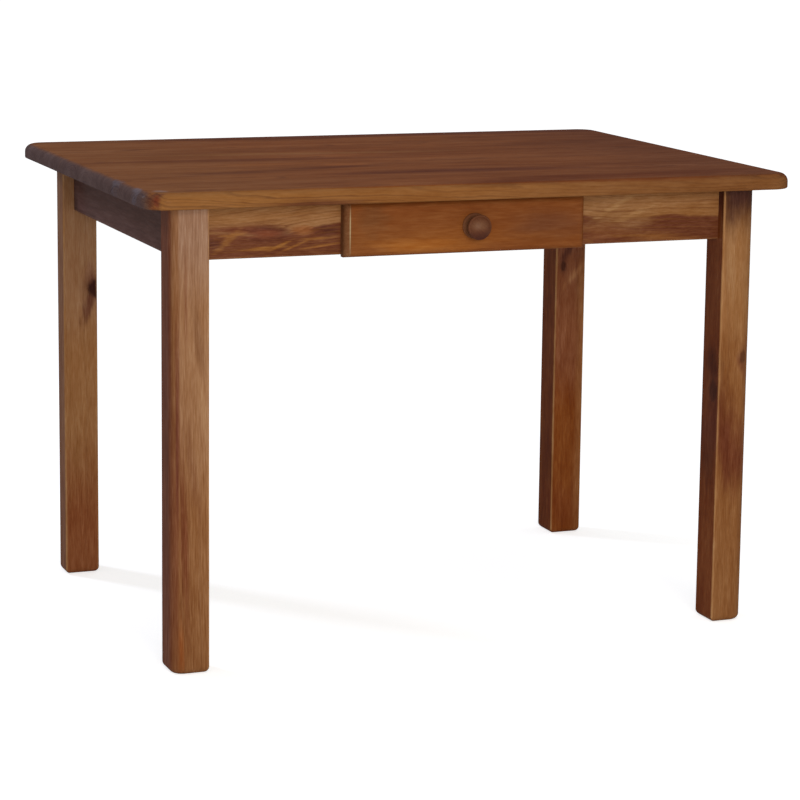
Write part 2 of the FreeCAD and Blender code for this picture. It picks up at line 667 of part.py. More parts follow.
def frame_pieces():
    """Return the pieces that stand still: top, legs, aprons and what joins them."""
    pieces = {}
    for index, board in enumerate(make_top_boards(), start=1):
        pieces[f"top_board_{index}"] = board
    corner_makers = {
        "leg": make_leg,
        "corner_block": make_corner_block,
        "hanger_bolt": make_hanger_bolt,
        "bolt_washer": make_washer,
        "bolt_nut": make_nut,
        "top_button": make_top_button,
    }
    for kind, maker in corner_makers.items():
        front_left = maker()
        for corner, signs in CORNERS.items():
            pieces[f"{kind}_{corner}"] = mirrored(front_left, *signs)
    for corner, signs in CORNERS.items():
        screw = domed_screw(button_seat(*signs), AXIS_Z, BUTTON_SCREW_LENGTH)
        pieces[f"top_button_screw_{corner}"] = screw
    pieces["front_apron"] = make_long_apron(-1)
    pieces["back_apron"] = make_long_apron(1)
    for side, sign_x in SIDES.items():
        pieces[f"{side}_apron"] = make_short_apron(sign_x)
        pieces[f"drawer_runner_{side}"] = make_runner(sign_x)
        pieces[f"drawer_kicker_{side}"] = make_kicker(sign_x)
        for end, sign_y in ENDS.items():
            pieces[f"runner_dowel_{end}_{side}"] = make_dowel(sign_x, sign_y)
    return pieces


def drawer_pieces():
    """Return the pieces that slide with the drawer, its turn button included."""
    pieces = {
        "drawer_front": make_drawer_front(),
        "drawer_inner_front": make_inner_front(),
        "drawer_back": make_drawer_back(),
        "drawer_bottom": make_drawer_bottom(),
        "drawer_knob": make_knob(),
        "knob_screw": domed_screw(screw_seat(KNOB_X, KNOB_Z), -AXIS_Y, knob_screw_length()),
        "stop_button": make_stop_button(),
        "stop_button_screw": domed_screw(stop_seat(), AXIS_Y, stop_screw_length()),
    }
    for side, sign_x in SIDES.items():
        pieces[f"drawer_side_{side}"] = make_drawer_side(sign_x)
        screw = domed_screw(front_screw_seat(sign_x), -AXIS_Y, front_screw_length())
        pieces[f"front_screw_{side}"] = screw
    return pieces


def main():
    """Write one STEP file per piece."""
    os.makedirs("parts", exist_ok=True)
    for name, shape in {**frame_pieces(), **drawer_pieces()}.items():
        shape.exportStep(f"parts/{name}.step")


main()
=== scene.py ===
import logging
import math
import zlib
from collections.abc import Callable, Iterator
from dataclasses import dataclass, replace
from enum import Enum, IntEnum
from itertools import pairwise

import bmesh
import bpy
from mathutils import Matrix, Vector


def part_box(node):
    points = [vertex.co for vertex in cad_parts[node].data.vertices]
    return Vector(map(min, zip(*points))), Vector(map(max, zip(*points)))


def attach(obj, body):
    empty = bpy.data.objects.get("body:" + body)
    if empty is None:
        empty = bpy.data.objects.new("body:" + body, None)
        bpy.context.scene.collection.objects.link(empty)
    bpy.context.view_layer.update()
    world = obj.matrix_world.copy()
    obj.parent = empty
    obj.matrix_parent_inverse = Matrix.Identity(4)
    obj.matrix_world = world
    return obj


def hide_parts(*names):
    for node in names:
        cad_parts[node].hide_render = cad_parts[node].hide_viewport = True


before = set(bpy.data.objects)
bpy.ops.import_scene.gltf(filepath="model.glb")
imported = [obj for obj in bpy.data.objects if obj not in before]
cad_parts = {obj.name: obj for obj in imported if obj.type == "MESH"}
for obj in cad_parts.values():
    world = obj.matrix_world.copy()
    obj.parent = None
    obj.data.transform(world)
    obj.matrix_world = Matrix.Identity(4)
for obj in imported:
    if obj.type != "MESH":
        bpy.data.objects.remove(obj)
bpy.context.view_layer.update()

LOG = logging.getLogger("tavern_table")
CORNERS = ("front_left", "front_right", "back_left", "back_right")
MM = 0.001
METRE_IN_MM = 1000

Pair = tuple[float, float]
Point = tuple[float, float, float]
Colour = tuple[float, float, float, float]
Piece = bpy.types.Object
Material = bpy.types.Material
Node = bpy.types.Node
Socket = bpy.types.NodeSocket
Tree = bpy.types.NodeTree


# ---------------------------------------------------------------- colour and node helpers


def srgb(hex_code: str) -> Colour:
    """Turn an sRGB hex colour into linear RGBA, with the constants of the sRGB standard.

    Args:
        hex_code: six hex digits, such as "8a5a2d".

    Returns:
        The linear red, green and blue, with alpha 1.
    """
    channels = []
    for start in (0, 2, 4):
        value = int(hex_code[start:start + 2], 16) / 255
        channels.append(value / 12.92 if value <= 0.04045 else ((value + 0.055) / 1.055) ** 2.4)
    return (channels[0], channels[1], channels[2], 1.0)


def seeded(name: str, salt: int) -> float:
    """Return a number from 0 to 1 that is fixed by a piece's name and a salt."""
    return (zlib.crc32(f"{name}/{salt}".encode()) % 10007) / 10007


def new_material(name: str) -> Material:
    """Make a material whose node tree is still empty.

    Args:
        name: its name.

    Returns:
        The material.
    """
    material = bpy.data.materials.new(name)
    material.use_nodes = True
    material.node_tree.nodes.clear()
    return material


def add_node(
    tree: Tree, kind: str, inputs: dict | list | tuple = (), **settings: object
) -> Node:
    """Add one shader node.

    Args:
        tree: the node tree that gets the node.
        kind: the node's type, without the "ShaderNode" that each one begins with.
        inputs: what its input sockets get, in order, or by name or number: a value, or an
            output socket to link.
        settings: properties to set on the node.

    Returns:
        The new node.
    """
    node = tree.nodes.new(f"ShaderNode{kind}")
    for name, value in settings.items():
        setattr(node, name, value)
    if not isinstance(inputs, dict):
        inputs = dict(enumerate(inputs))
    for name, value in inputs.items():
        if isinstance(value, Socket):
            tree.links.new(value, node.inputs[name])
        else:
            node.inputs[name].default_value = value
    return node


def set_stops(ramp: Node, *stops: tuple[float, Colour]) -> Socket:
    """Give a colour ramp its stops.

    Args:
        ramp: the colour ramp's node, which has two stops of its own.
        stops: the place and the colour of each stop, two of them for the ramp's own.

    Returns:
        The ramp's colour.
    """
    elements = ramp.color_ramp.elements
    for index in (0, 1):
        elements[index].position, elements[index].color = stops[index]
    for place, colour in stops[2:]:
        elements.new(place).color = colour
    return ramp.outputs["Color"]


# ---------------------------------------------------------------- finishes


class GrainRun(Enum):
    """The way a board's grain runs, as the row axes (along, across, through) the board."""

    LENGTHWISE = ("X", "Y", "Z")
    LENGTHWISE_ON_EDGE = ("X", "Z", "Y")
    FRONT_TO_BACK = ("Y", "Z", "X")
    UPRIGHT = ("Z", "X", "Y")


class Side(Enum):
    """A direction in a board, as its place in (along, across, through, out from the pith)."""

    ALONG = 0
    ACROSS = 1
    FROM_PITH = 3


class Salt(IntEnum):
    """Which stretch of the endless noise a pattern takes, so that no two patterns agree."""

    BEND = 11
    SWAY = 21
    RIPPLE = 31
    RING_FADE = 36
    FIBRE = 41
    MOTTLE = 46
    PATCH = 51
    TINT = 55
    ZONE = 61
    CANAL = 71
    RUB_AND_GLINT = 81
    KNOT = 91
    CLOUD = 131


@dataclass(frozen=True)
class Pattern:
    """Noise that is stretched along the grain.

    length_mm and width_mm are the size of its features, detail is how many octaves of finer
    noise it has, and roughness how strong they are.
    """

    length_mm: float
    width_mm: float
    salt: int
    detail: float = 2.0
    roughness: float = 0.5


@dataclass(frozen=True)
class WoodFinish:
    """Any wood: its colours, the sizes of its figure in millimetres, and its surface.

    ground is the colour between the ring lines, line that of the lines, tint a second ground
    colour that comes and goes in wide patches, and deep the colour of heartwood and knot halos.
    Each share is how strongly its figure shows, where canals are the short dark streaks of resin.
    """

    label: str
    ground: str
    line: str
    tint: str
    deep: str
    knot: str
    worn_and_glint: str
    ring_mm: float = 3.4
    ring_share: float = 0.5
    tint_share: float = 0.5
    fibre_mm: float = 1.5
    fibre_length_mm: float = 110.0
    fibre_share: float = 0.1
    patch_mm: float = 55.0
    patch_length_mm: float = 420.0
    patch_share: float = 0.12
    mottle_mm: float = 9.0
    mottle_length_mm: float = 75.0
    mottle_share: float = 0.08
    canal_mm: float = 1.5
    canal_length_mm: float = 60.0
    canal_share: float = 0.0
    # The next share pales the long arrises towards the pale colour above: partly stain that
    # rubbing takes off, partly a painted highlight where an arris would catch the light.
    wear_and_glint: float = 0.0
    roughness: float = 0.45
    specular: float = 0.0
    lacquer: float = 0.06
    lacquer_roughness: float = 0.22
    relief_mm: float = 0.06


@dataclass(frozen=True)
class StainedPine(WoodFinish):
    """Pine, planed and sanded, wiped with walnut stain and sprayed with satin lacquer.

    The soft early wood drinks the stain and goes dark while the hard late wood stays golden, the
    rounded edges are paler, partly where rubbing takes the stain off and partly as a painted
    highlight where they would catch the light, and the lacquer gives a soft sheen without a hard
    mirror.
    """

    label: str = "pine_walnut_stained_lacquered"
    ground: str = "8a5a38"
    line: str = "6a4026"
    tint: str = "94602f"
    deep: str = "5c2f1d"
    knot: str = "32150e"
    worn_and_glint: str = "a87c50"
    wear_and_glint: float = 0.5


@dataclass(frozen=True)
class BarePine(WoodFinish):
    """Pine left as the planer leaves it, where it doesn't show.

    It looks pale straw with tan late wood lines, and is quite matt.
    """

    label: str = "pine_planed_bare"
    ground: str = "dcbf93"
    line: str = "bd9260"
    tint: str = "d4b07c"
    deep: str = "b3845a"
    knot: str = "6f4527"
    worn_and_glint: str = "e6cfa8"
    ring_mm: float = 3.8
    fibre_share: float = 0.06
    patch_share: float = 0.08
    roughness: float = 0.66
    specular: float = 0.3
    lacquer: float = 0.0


@dataclass(frozen=True)
class BareBeech(WoodFinish):
    """Beech, turned or sawn and sanded, left bare.

    It looks even pinkish tan with short dark flecks and hardly any rings.
    """

    label: str = "beech_sanded_bare"
    ground: str = "cfa67c"
    line: str = "b98d63"
    tint: str = "d6b088"
    deep: str = "a87a54"
    knot: str = "8a5d3d"
    worn_and_glint: str = "dcbb95"
    ring_mm: float = 2.2
    ring_share: float = 0.2
    fibre_mm: float = 0.8
    fibre_length_mm: float = 5.0
    fibre_share: float = 0.12
    roughness: float = 0.58
    specular: float = 0.3
    lacquer: float = 0.0


@dataclass(frozen=True)
class PinePlywood(WoodFinish):
    """Pine plywood, rotary cut and sanded.

    Its faces show wide, wild figure, because the veneer was peeled round the log.
    """

    label: str = "pine_plywood_sanded"
    ground: str = "d9bb8c"
    line: str = "c29a67"
    tint: str = "cfae7c"
    deep: str = "b3845a"
    knot: str = "6f4527"
    worn_and_glint: str = "e0c79b"
    ring_mm: float = 9.0
    ring_share: float = 0.6
    roughness: float = 0.6
    specular: float = 0.3
    lacquer: float = 0.0


@dataclass(frozen=True)
class ZincPlatedSteel:
    """Cold-headed steel, zinc plated and passivated.

    It looks grey with a faint yellow and blue bloom, satin rather than mirror bright. bloom_stops
    are where its noise turns dull, bright and yellow, grain_range is the part of the fine noise
    that counts, and spread how far the roughness swings below and above its middle value.
    """

    label: str = "steel_zinc_plated"
    bright: str = "c3c4c2"
    dull: str = "9a9c9f"
    bloom: str = "b9ad8a"
    bloom_mm: float = 3.5
    grain_mm: float = 0.35
    roughness: float = 0.33
    bloom_stops: Point = (0.35, 0.5, 0.65)
    grain_range: Pair = (0.3, 0.7)
    spread: Pair = (0.06, 0.1)
    relief_mm: float = 0.02
    relief_share: float = 0.3

    def material(self) -> Material:
        """Build the material.

        Returns:
            The material.
        """
        material = new_material(self.label)
        tree = material.node_tree
        place = add_node(tree, "TexCoord").outputs["Object"]
        bloom, grain = (
            add_node(tree, "TexNoise", {
                "Vector": place, "Scale": 1 / (size * MM), "Detail": detail,
            }).outputs["Fac"]
            for size, detail in ((self.bloom_mm, 3.0), (self.grain_mm, 2.0))
        )
        dull, bright, yellow = self.bloom_stops
        colour = set_stops(
            add_node(tree, "ValToRGB", (bloom,)),
            (dull, srgb(self.dull)), (yellow, srgb(self.bloom)), (bright, srgb(self.bright)),
        )
        rough = add_node(tree, "MapRange", {
            "Value": grain, "From Min": self.grain_range[0], "From Max": self.grain_range[1],
            "To Min": self.roughness - self.spread[0], "To Max": self.roughness + self.spread[1],
        })
        bump = add_node(tree, "Bump", {
            "Strength": self.relief_share, "Distance": self.relief_mm * MM, "Height": grain,
        })
        surface = add_node(tree, "BsdfPrincipled", {
            "Base Color": colour, "Metallic": 1.0, "Roughness": rough.outputs["Result"],
            "Normal": bump.outputs[0],
        })
        add_node(tree, "OutputMaterial", {"Surface": surface.outputs[0]})
        return material


# ---------------------------------------------------------------- boards and their marks


@dataclass(frozen=True)
class Knot:
    """A knot on a face.

    place is its middle in the row frame in metres, size its radius in metres, stretch how much
    longer it is along the grain than across it, and depth how dark it is.
    """

    place: Point
    size: float
    stretch: float = 1.4
    depth: float = 0.85


@dataclass(frozen=True)
class Cloud:
    """A soft patch where the wood took the stain in another way.

    place is its middle in the row frame in metres, reach how far it goes along and across the
    grain in metres, colour its sRGB hex colour, share how much of it shows, tilt how many
    radians it leans from the grain, and rag how ragged its edge is.
    """

    place: Point
    reach: Pair
    colour: str
    share: float = 0.7
    tilt: float = 0.0
    rag: float = 0.22


@dataclass(frozen=True)
class Zone:
    """A part of a board, from one plane onwards, with another colour.

    side is the direction it is measured in, start and full are where it begins and where it is
    complete, in metres from the board's middle or from the pith, wander is how far its edge
    strays, and figure is how much of the ring lines stay visible through it.
    """

    side: Side
    start: float
    full: float
    colour: str
    share: float = 0.9
    wander: float = 0.0
    figure: float = 0.0
    figure_colour: str = ""


@dataclass(frozen=True)
class Board:
    """How one piece is cut from the log, and what marks it.

    pith is the middle of the log, across and through the piece from the piece's own middle,
    lean how far it moves across and through per metre of length, wave how far in metres the
    rings bend from straight, and shade how light the piece is beside its finish.
    """

    node: str
    run: GrainRun
    finish: WoodFinish
    pith: Pair = (0.0, -0.06)
    lean: Pair = (0.0, 0.03)
    wave: float = 0.006
    shade: float = 1.0
    zones: tuple[Zone, ...] = ()
    clouds: tuple[Cloud, ...] = ()
    knots: tuple[Knot, ...] = ()


# Noise that every wood has, whatever its finish.
BEND = Pattern(450, 110, Salt.BEND, 1.5)
SWAY = Pattern(320, 140, Salt.SWAY, 1.5)
RIPPLE = Pattern(80, 14, Salt.RIPPLE, 3.0, 0.6)
RING_FADE = Pattern(190, 20, Salt.RING_FADE)
RUB_AND_GLINT = Pattern(60, 20, Salt.RUB_AND_GLINT)
ZONE_EDGE = Pattern(150, 30, Salt.ZONE, 5.0, 0.62)

# How far apart two pieces lie in the endless noise, and what makes it swing from -1 to 1.
NOISE_SPAN = 40
NOISE_GAIN = 4.0
# How many salts the second zone, knot or cloud of a board lies past the first.
ZONE_STEP = 7
MARK_STEP = 5

# The sockets by which a Mix node mixes colours: its factor, the two colours and the result.
FACTOR, UNDER, OVER, MIXED = 0, 6, 7, 2


class WoodShader:
    """Builds the node material of one piece, in solid wood: every face shows the same log.

    A ring's line has its stops as a share of the ring. Years are how fast the width of the
    rings changes and by how much, line_range the spread and the least of the lines' strength,
    and fade the spread and the middle of what the noise leaves of them. The edges, the halo and
    the heart say where a mark begins and where it is complete: in its own radii for clouds and
    knots, in metres for the pale arrises, which are stain taken off by rubbing and a painted
    highlight, and as the noise itself for canals. A knot's third number is its share. Each noise
    of the finish has its salt, detail and roughness here.
    """

    line_stops = ((0.3, 0.0), (0.8, 1.0), (0.98, 0.0))
    years = (0.22, 2.4)
    line_range = (0.8, 0.2)
    fade = (0.45, 0.65)
    ripple = 0.0016
    rag_size = (0.8, 0.5)
    rag_detail = 5.0
    depth_of_marks = 0.5
    cloud_edges = (1.15, 0.15)
    knot_rag = 0.2
    knot_bend = (3.0, 0.0, 1.4)
    knot_halo = (2.3, 0.6, 0.6)
    knot_heart = (1.15, 0.55, 1.0)
    canal_edges = (0.25, 1.0)
    rub_and_glint_edges = (3.6 * MM, 1.2 * MM)
    rub_and_glint_stray = 0.0008
    fibre_noise = (Salt.FIBRE, 3.0, 0.65)
    mottle_noise = (Salt.MOTTLE, 4.0, 0.6)
    patch_noise = (Salt.PATCH, 3.0, 0.5)
    least_gamma = 0.5
    relief_share = 0.5
    fibre_relief = 0.3
    fibre_roughness = 0.04

    def __init__(self, board: Board) -> None:
        """Start the material with the place in the grain, in metres.

        Args:
            board: how the piece is cut.
        """
        low, high = (Vector(corner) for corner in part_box(board.node))
        self.board, self.finish = board, board.finish
        self.order = ["XYZ".index(axis) for axis in board.run.value]
        self.middle = (low + high) / 2
        self.half = [((high - low) / 2)[index] for index in self.order]
        self.material = new_material(f"{board.finish.label}_{board.node}")
        place = self.add("TexCoord", (), "Object")
        moved = self.add("VectorMath", (place, self.middle), operation="SUBTRACT")
        split = add_node(self.material.node_tree, "SeparateXYZ", (moved,)).outputs
        self.axes = [split[axis] for axis in board.run.value]
        self.space = self.add("CombineXYZ", self.axes)

    def add(
        self, kind: str, inputs: dict | list | tuple, output: int | str = 0, **settings: object
    ) -> Socket:
        """Add a node to this material and return one of its outputs."""
        return add_node(self.material.node_tree, kind, inputs, **settings).outputs[output]

    def rise(self, value: Socket, start: float, full: float, share: float) -> Socket:
        """Rise smoothly with a value, from 0 at the start to the share at full."""
        step = self.add("MapRange", (value, start, full), interpolation_type="SMOOTHSTEP")
        return self.add("Math", (step, share), operation="MULTIPLY")

    def noise(self, pattern: Pattern) -> Socket:
        """Add a pattern, from this piece's own stretch of the endless noise.

        Args:
            pattern: the pattern.

        Returns:
            The noise, swinging by about 1 either way round 0.
        """
        salts = range(pattern.salt, pattern.salt + 3)
        sizes = (pattern.length_mm, pattern.width_mm, pattern.width_mm)
        mapped = self.add("Mapping", {
            "Vector": self.space,
            "Location": [NOISE_SPAN * seeded(self.board.node, salt) for salt in salts],
            "Scale": [1 / (size * MM) for size in sizes],
        })
        noise = self.add("TexNoise", {
            "Vector": mapped, "Scale": 1.0, "Detail": pattern.detail,
            "Roughness": pattern.roughness,
        }, "Fac")
        return self.add("Math", (noise, NOISE_GAIN, -NOISE_GAIN / 2), operation="MULTIPLY_ADD")

    def distance(
        self, place: Point, reach: Pair, salt: int, rag: float, tilt: float = 0.0
    ) -> Socket:
        """Measure how far a point is from a place, as a share of the reach.

        Args:
            place: the middle in the row frame.
            reach: how far 1 lies along and across the grain, in metres.
            salt: which noise makes it ragged.
            rag: how ragged it is.
            tilt: how many radians its long side leans from the grain.

        Returns:
            The distance, 0 at the middle and 1 at the reach.
        """
        offset = Vector(place) - self.middle
        local = Vector([offset[index] for index in self.order])
        moved = self.add("VectorMath", (self.space, local), operation="SUBTRACT")
        if tilt:
            inputs = {"Vector": moved, "Angle": tilt}
            moved = self.add("VectorRotate", inputs, rotation_type="Z_AXIS")
        scale = (1 / reach[0], 1 / reach[1], self.depth_of_marks / reach[1])
        shaped = self.add("VectorMath", (moved, scale), operation="MULTIPLY")
        length = self.add("VectorMath", (shaped,), "Value", operation="LENGTH")
        sizes = (METRE_IN_MM * far * share for far, share in zip(reach, self.rag_size))
        ragged = self.noise(Pattern(*sizes, salt, self.rag_detail))
        return self.add("Math", (ragged, rag, length), operation="MULTIPLY_ADD")

    def rings(self, knots: list[Socket]) -> Socket:
        """Draw the ring lines, bent round knots.

        Rings differ in width and in how strong their line is, as good and bad summers leave them.
        The distance from the pith joins the axes here, so that a zone can follow a ring.

        Args:
            knots: the distance to each knot.

        Returns:
            The strength of the line, 0 in the ground rising to 1 in the line.
        """
        board, width = self.board, self.finish.ring_mm * MM
        from_pith = []
        for axis, lean, pith, pattern in zip(self.axes[1:], board.lean, board.pith, (BEND, SWAY)):
            place = self.add("Math", (self.axes[0], lean, axis), operation="MULTIPLY_ADD")
            place = self.add("Math", (place, pith), operation="SUBTRACT")
            bend = self.add("Math", (self.noise(pattern), board.wave), operation="MULTIPLY")
            from_pith.append(self.add("Math", (place, bend), operation="ADD"))
        joined = self.add("CombineXYZ", from_pith)
        radius = self.add("VectorMath", (joined,), "Value", operation="LENGTH")
        ripple = self.add("Math", (self.noise(RIPPLE), self.ripple), operation="MULTIPLY")
        radius = self.add("Math", (radius, ripple), operation="ADD")
        start, full, share = self.knot_bend
        for knot, near in zip(board.knots, knots):
            bend = self.rise(near, start, full, knot.size * share)
            radius = self.add("Math", (radius, bend), operation="ADD")
        self.axes.append(radius)
        summers = self.add("TexNoise", {
            "W": radius, "Scale": self.years[0] / width, "Detail": 1.0,
        }, "Fac", noise_dimensions="1D")
        even = self.add("Math", (radius, width), operation="DIVIDE")
        count = self.add("Math", (summers, self.years[1], even), operation="MULTIPLY_ADD")
        year = self.add("Math", (count,), operation="FLOOR")
        drawn = self.add("TexWhiteNoise", {"W": year}, "Value", noise_dimensions="1D")
        strength = self.add("Math", (drawn, *self.line_range), operation="MULTIPLY_ADD")
        season = self.add("Math", (count,), operation="FRACT")
        ramp = add_node(self.material.node_tree, "ValToRGB", (season,))
        ramp.color_ramp.interpolation = "EASE"
        line = set_stops(ramp, *((at, (grey, grey, grey, 1.0)) for at, grey in self.line_stops))
        inputs = (self.noise(RING_FADE), *self.fade)
        fade = self.add("Math", inputs, operation="MULTIPLY_ADD", use_clamp=True)
        line = self.add("Math", (line, fade), operation="MULTIPLY")
        return self.add("Math", (line, strength), operation="MULTIPLY")

    def rubbed_and_glinting(self) -> Socket:
        """Find the long arrises of the piece, where hands and cloths rub it.

        Returns:
            How much paler the arrises get, as stain taken off by rubbing and as a painted
            highlight where they would catch the light, falling to 0 a little way from them.
        """
        gaps = []
        for index in (1, 2):
            place = self.add("Math", (self.axes[index],), operation="ABSOLUTE")
            gaps.append(self.add("Math", (place, self.half[index]), operation="SUBTRACT"))
        corner = self.add("CombineXYZ", gaps)
        length = self.add("VectorMath", (corner,), "Value", operation="LENGTH")
        inputs = (self.noise(RUB_AND_GLINT), self.rub_and_glint_stray, length)
        length = self.add("Math", inputs, operation="MULTIPLY_ADD")
        return self.rise(length, *self.rub_and_glint_edges, self.finish.wear_and_glint)

    def layers(self, rings: Socket, knots: list[Socket]) -> Iterator[tuple[Socket, Colour, str]]:
        """Give each colour that lies over the ground, the lowest first.

        Args:
            rings: the ring lines.
            knots: the distance to each knot.

        Yields:
            How much of the colour shows, the colour, and how it blends.
        """
        board, finish = self.board, self.finish
        patch = self.noise(Pattern(finish.patch_length_mm, finish.patch_mm, Salt.TINT))
        inputs = (patch, finish.tint_share, finish.tint_share)
        tint = self.add("Math", inputs, operation="MULTIPLY_ADD", use_clamp=True)
        yield tint, srgb(finish.tint), "MIX"
        drawn = []
        for number, zone in enumerate(board.zones):
            place = self.axes[zone.side.value]
            if zone.wander:
                edge = replace(ZONE_EDGE, salt=ZONE_EDGE.salt + ZONE_STEP * number)
                inputs = (self.noise(edge), zone.wander, place)
                place = self.add("Math", inputs, operation="MULTIPLY_ADD")
            inside = self.rise(place, zone.start, zone.full, zone.share)
            yield inside, srgb(zone.colour), "MIX"
            if zone.figure:
                share = self.add("Math", (rings, zone.figure), operation="MULTIPLY")
                share = self.add("Math", (share, inside), operation="MULTIPLY")
                drawn.append((share, srgb(zone.figure_colour), "MIX"))
        for number, cloud in enumerate(board.clouds):
            salt = Salt.CLOUD + MARK_STEP * number
            near = self.distance(cloud.place, cloud.reach, salt, cloud.rag, cloud.tilt)
            yield self.rise(near, *self.cloud_edges, cloud.share), srgb(cloud.colour), "MIX"
        darker = (
            min(line / ground, 1.0) for line, ground in zip(srgb(finish.line), srgb(finish.ground))
        )
        share = self.add("Math", (rings, finish.ring_share), operation="MULTIPLY")
        yield share, tuple(darker), "MULTIPLY"
        yield from drawn
        marks = ((self.knot_halo, finish.deep), (self.knot_heart, finish.knot))
        for knot, near in zip(board.knots, knots):
            for (start, full, share), colour in marks:
                yield self.rise(near, start, full, share * knot.depth), srgb(colour), "MIX"
        # The arrises get paler: stain taken off by rubbing, and a painted highlight where they
        # catch the light.
        if finish.wear_and_glint:
            yield self.rubbed_and_glinting(), srgb(finish.worn_and_glint), "MIX"

    def shaded(self, colour: Socket | Colour, shade: Socket) -> Socket:
        """Make a colour lighter and yellower, or darker and redder, as stain does.

        Args:
            colour: the colour.
            shade: about what share it gets lighter by, below 0 for darker.

        Returns:
            The new colour.
        """
        ground = srgb(self.finish.ground)[:3]
        depth = -math.log(sum(ground) / len(ground))
        gamma = self.add("Math", (shade, -1 / depth, 1.0), operation="MULTIPLY_ADD")
        gamma = self.add("Math", (gamma, self.least_gamma), operation="MAXIMUM")
        return self.add("Gamma", (colour, gamma))

    def build(self) -> Material:
        """Link the whole material.

        Returns:
            The material.
        """
        board, finish = self.board, self.finish
        knots = []
        for number, knot in enumerate(board.knots):
            reach, salt = (knot.size * knot.stretch, knot.size), Salt.KNOT + MARK_STEP * number
            knots.append(self.distance(knot.place, reach, salt, self.knot_rag))
        rings = self.rings(knots)
        colour = srgb(finish.ground)
        for factor, over, blend in self.layers(rings, knots):
            inputs = {FACTOR: factor, UNDER: colour, OVER: over}
            colour = self.add("Mix", inputs, MIXED, data_type="RGBA", blend_type=blend)
        fibre, mottle, patch = (
            self.noise(Pattern(length, width, *look))
            for length, width, look in (
                (finish.fibre_length_mm, finish.fibre_mm, self.fibre_noise),
                (finish.mottle_length_mm, finish.mottle_mm, self.mottle_noise),
                (finish.patch_length_mm, finish.patch_mm, self.patch_noise),
            )
        )
        shade = board.shade - 1
        shares = (finish.fibre_share, finish.mottle_share, finish.patch_share)
        for noise, share in zip((fibre, mottle, patch), shares):
            shade = self.add("Math", (noise, share, shade), operation="MULTIPLY_ADD")
        if finish.canal_share:
            noise = self.noise(Pattern(finish.canal_length_mm, finish.canal_mm, Salt.CANAL, 1.0))
            inputs = (noise, *self.canal_edges)
            canals = self.add("MapRange", inputs, interpolation_type="SMOOTHSTEP")
            inputs = (canals, -finish.canal_share, shade)
            shade = self.add("Math", inputs, operation="MULTIPLY_ADD")
        height = self.add("Math", (fibre, self.fibre_relief, rings), operation="MULTIPLY_ADD")
        inputs = (fibre, self.fibre_roughness, finish.roughness)
        surface = self.add("BsdfPrincipled", {
            "Base Color": self.shaded(colour, shade),
            "Roughness": self.add("Math", inputs, operation="MULTIPLY_ADD"),
            "Specular IOR Level": finish.specular,
            "Coat Weight": finish.lacquer,
            "Coat Roughness": finish.lacquer_roughness,
            "Normal": self.add("Bump", {
                "Strength": self.relief_share, "Distance": finish.relief_mm * MM,
                "Height": height,
            }),
        })
        add_node(self.material.node_tree, "OutputMaterial", {"Surface": surface})
        return self.material


def dress(node: str, material: Material) -> str:
    """Put a material on a CAD node.

    Args:
        node: the node's name.
        material: the material it gets.

    Returns:
        A line that says what was dressed, for the log.
    """
    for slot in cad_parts[node].material_slots:
        slot.material = material
    return f"{node}: {material.name}"


# ---------------------------------------------------------------- modelling


# Faces and edges whose middle lies further than this from the piece's own are its top or rims.
AT_THE_TOP = 0.49
# A direction that rises by more than this is taken as upright.
STEEP = 0.9


def primitive(kind: str, **settings: object) -> Piece:
    """Add a mesh primitive at its size and place, with nothing else selected.

    Args:
        kind: the primitive, such as "cylinder".
        settings: its sizes and place.

    Returns:
        The new piece.
    """
    bpy.ops.object.select_all(action="DESELECT")
    getattr(bpy.ops.mesh, f"primitive_{kind}_add")(**settings)
    return bpy.context.object


def activate(piece: Piece) -> None:
    """Select one piece alone and make it the active one.

    Args:
        piece: the piece.
    """
    bpy.ops.object.select_all(action="DESELECT")
    bpy.context.view_layer.objects.active = piece
    piece.select_set(True)


def pick(piece: Piece, kind: str, test: Callable[[Vector], bool]) -> None:
    """Select the edges or faces, in edit mode, whose middle passes a test.

    Args:
        piece: the piece in edit mode.
        kind: "EDGE" or "FACE".
        test: says whether a middle is picked.
    """
    bpy.ops.mesh.select_mode(type=kind)
    bpy.ops.mesh.select_all(action="DESELECT")
    mesh = bmesh.from_edit_mesh(piece.data)
    for element in mesh.edges if kind == "EDGE" else mesh.faces:
        total = sum((corner.co for corner in element.verts), Vector())
        element.select_set(test(total / len(element.verts)))
    bmesh.update_edit_mesh(piece.data)


def turned(profile: list[Pair], sides: int) -> Piece:
    """Model a turned piece on the Z axis, by extruding a disc from one ring to the next.

    Args:
        profile: the radius and height of each ring in millimetres, the last above the first.
        sides: how many sides it has.

    Returns:
        The piece, closed at both ends.
    """
    radius, height = profile[0]
    piece = primitive("circle", vertices=sides, radius=radius * MM, fill_type="NGON",
                      location=(0, 0, height * MM))
    bpy.ops.object.mode_set(mode="EDIT")
    bpy.ops.mesh.select_mode(type="FACE")
    bpy.ops.mesh.select_all(action="SELECT")
    for (radius, height), (next_radius, next_height) in pairwise(profile):
        rise = {"value": (0, 0, (next_height - height) * MM)}
        bpy.ops.mesh.extrude_region_move(TRANSFORM_OT_translate=rise)
        share = next_radius / radius
        bpy.ops.transform.resize(value=(share, share, 1), center_override=(0, 0, next_height * MM))
    bpy.ops.mesh.select_all(action="SELECT")
    bpy.ops.mesh.normals_make_consistent(inside=False)
    bpy.ops.object.mode_set(mode="OBJECT")
    return piece


def cut(piece: Piece, tool: Piece, operation: str) -> None:
    """Cut a piece with a tool, which is then thrown away.

    Args:
        piece: the piece.
        tool: the body that cuts it.
        operation: "DIFFERENCE" or "INTERSECT".
    """
    activate(piece)
    modifier = piece.modifiers.new("cut", "BOOLEAN")
    modifier.operation = operation
    modifier.object = tool
    bpy.ops.object.modifier_apply(modifier=modifier.name)
    bpy.data.objects.remove(tool)


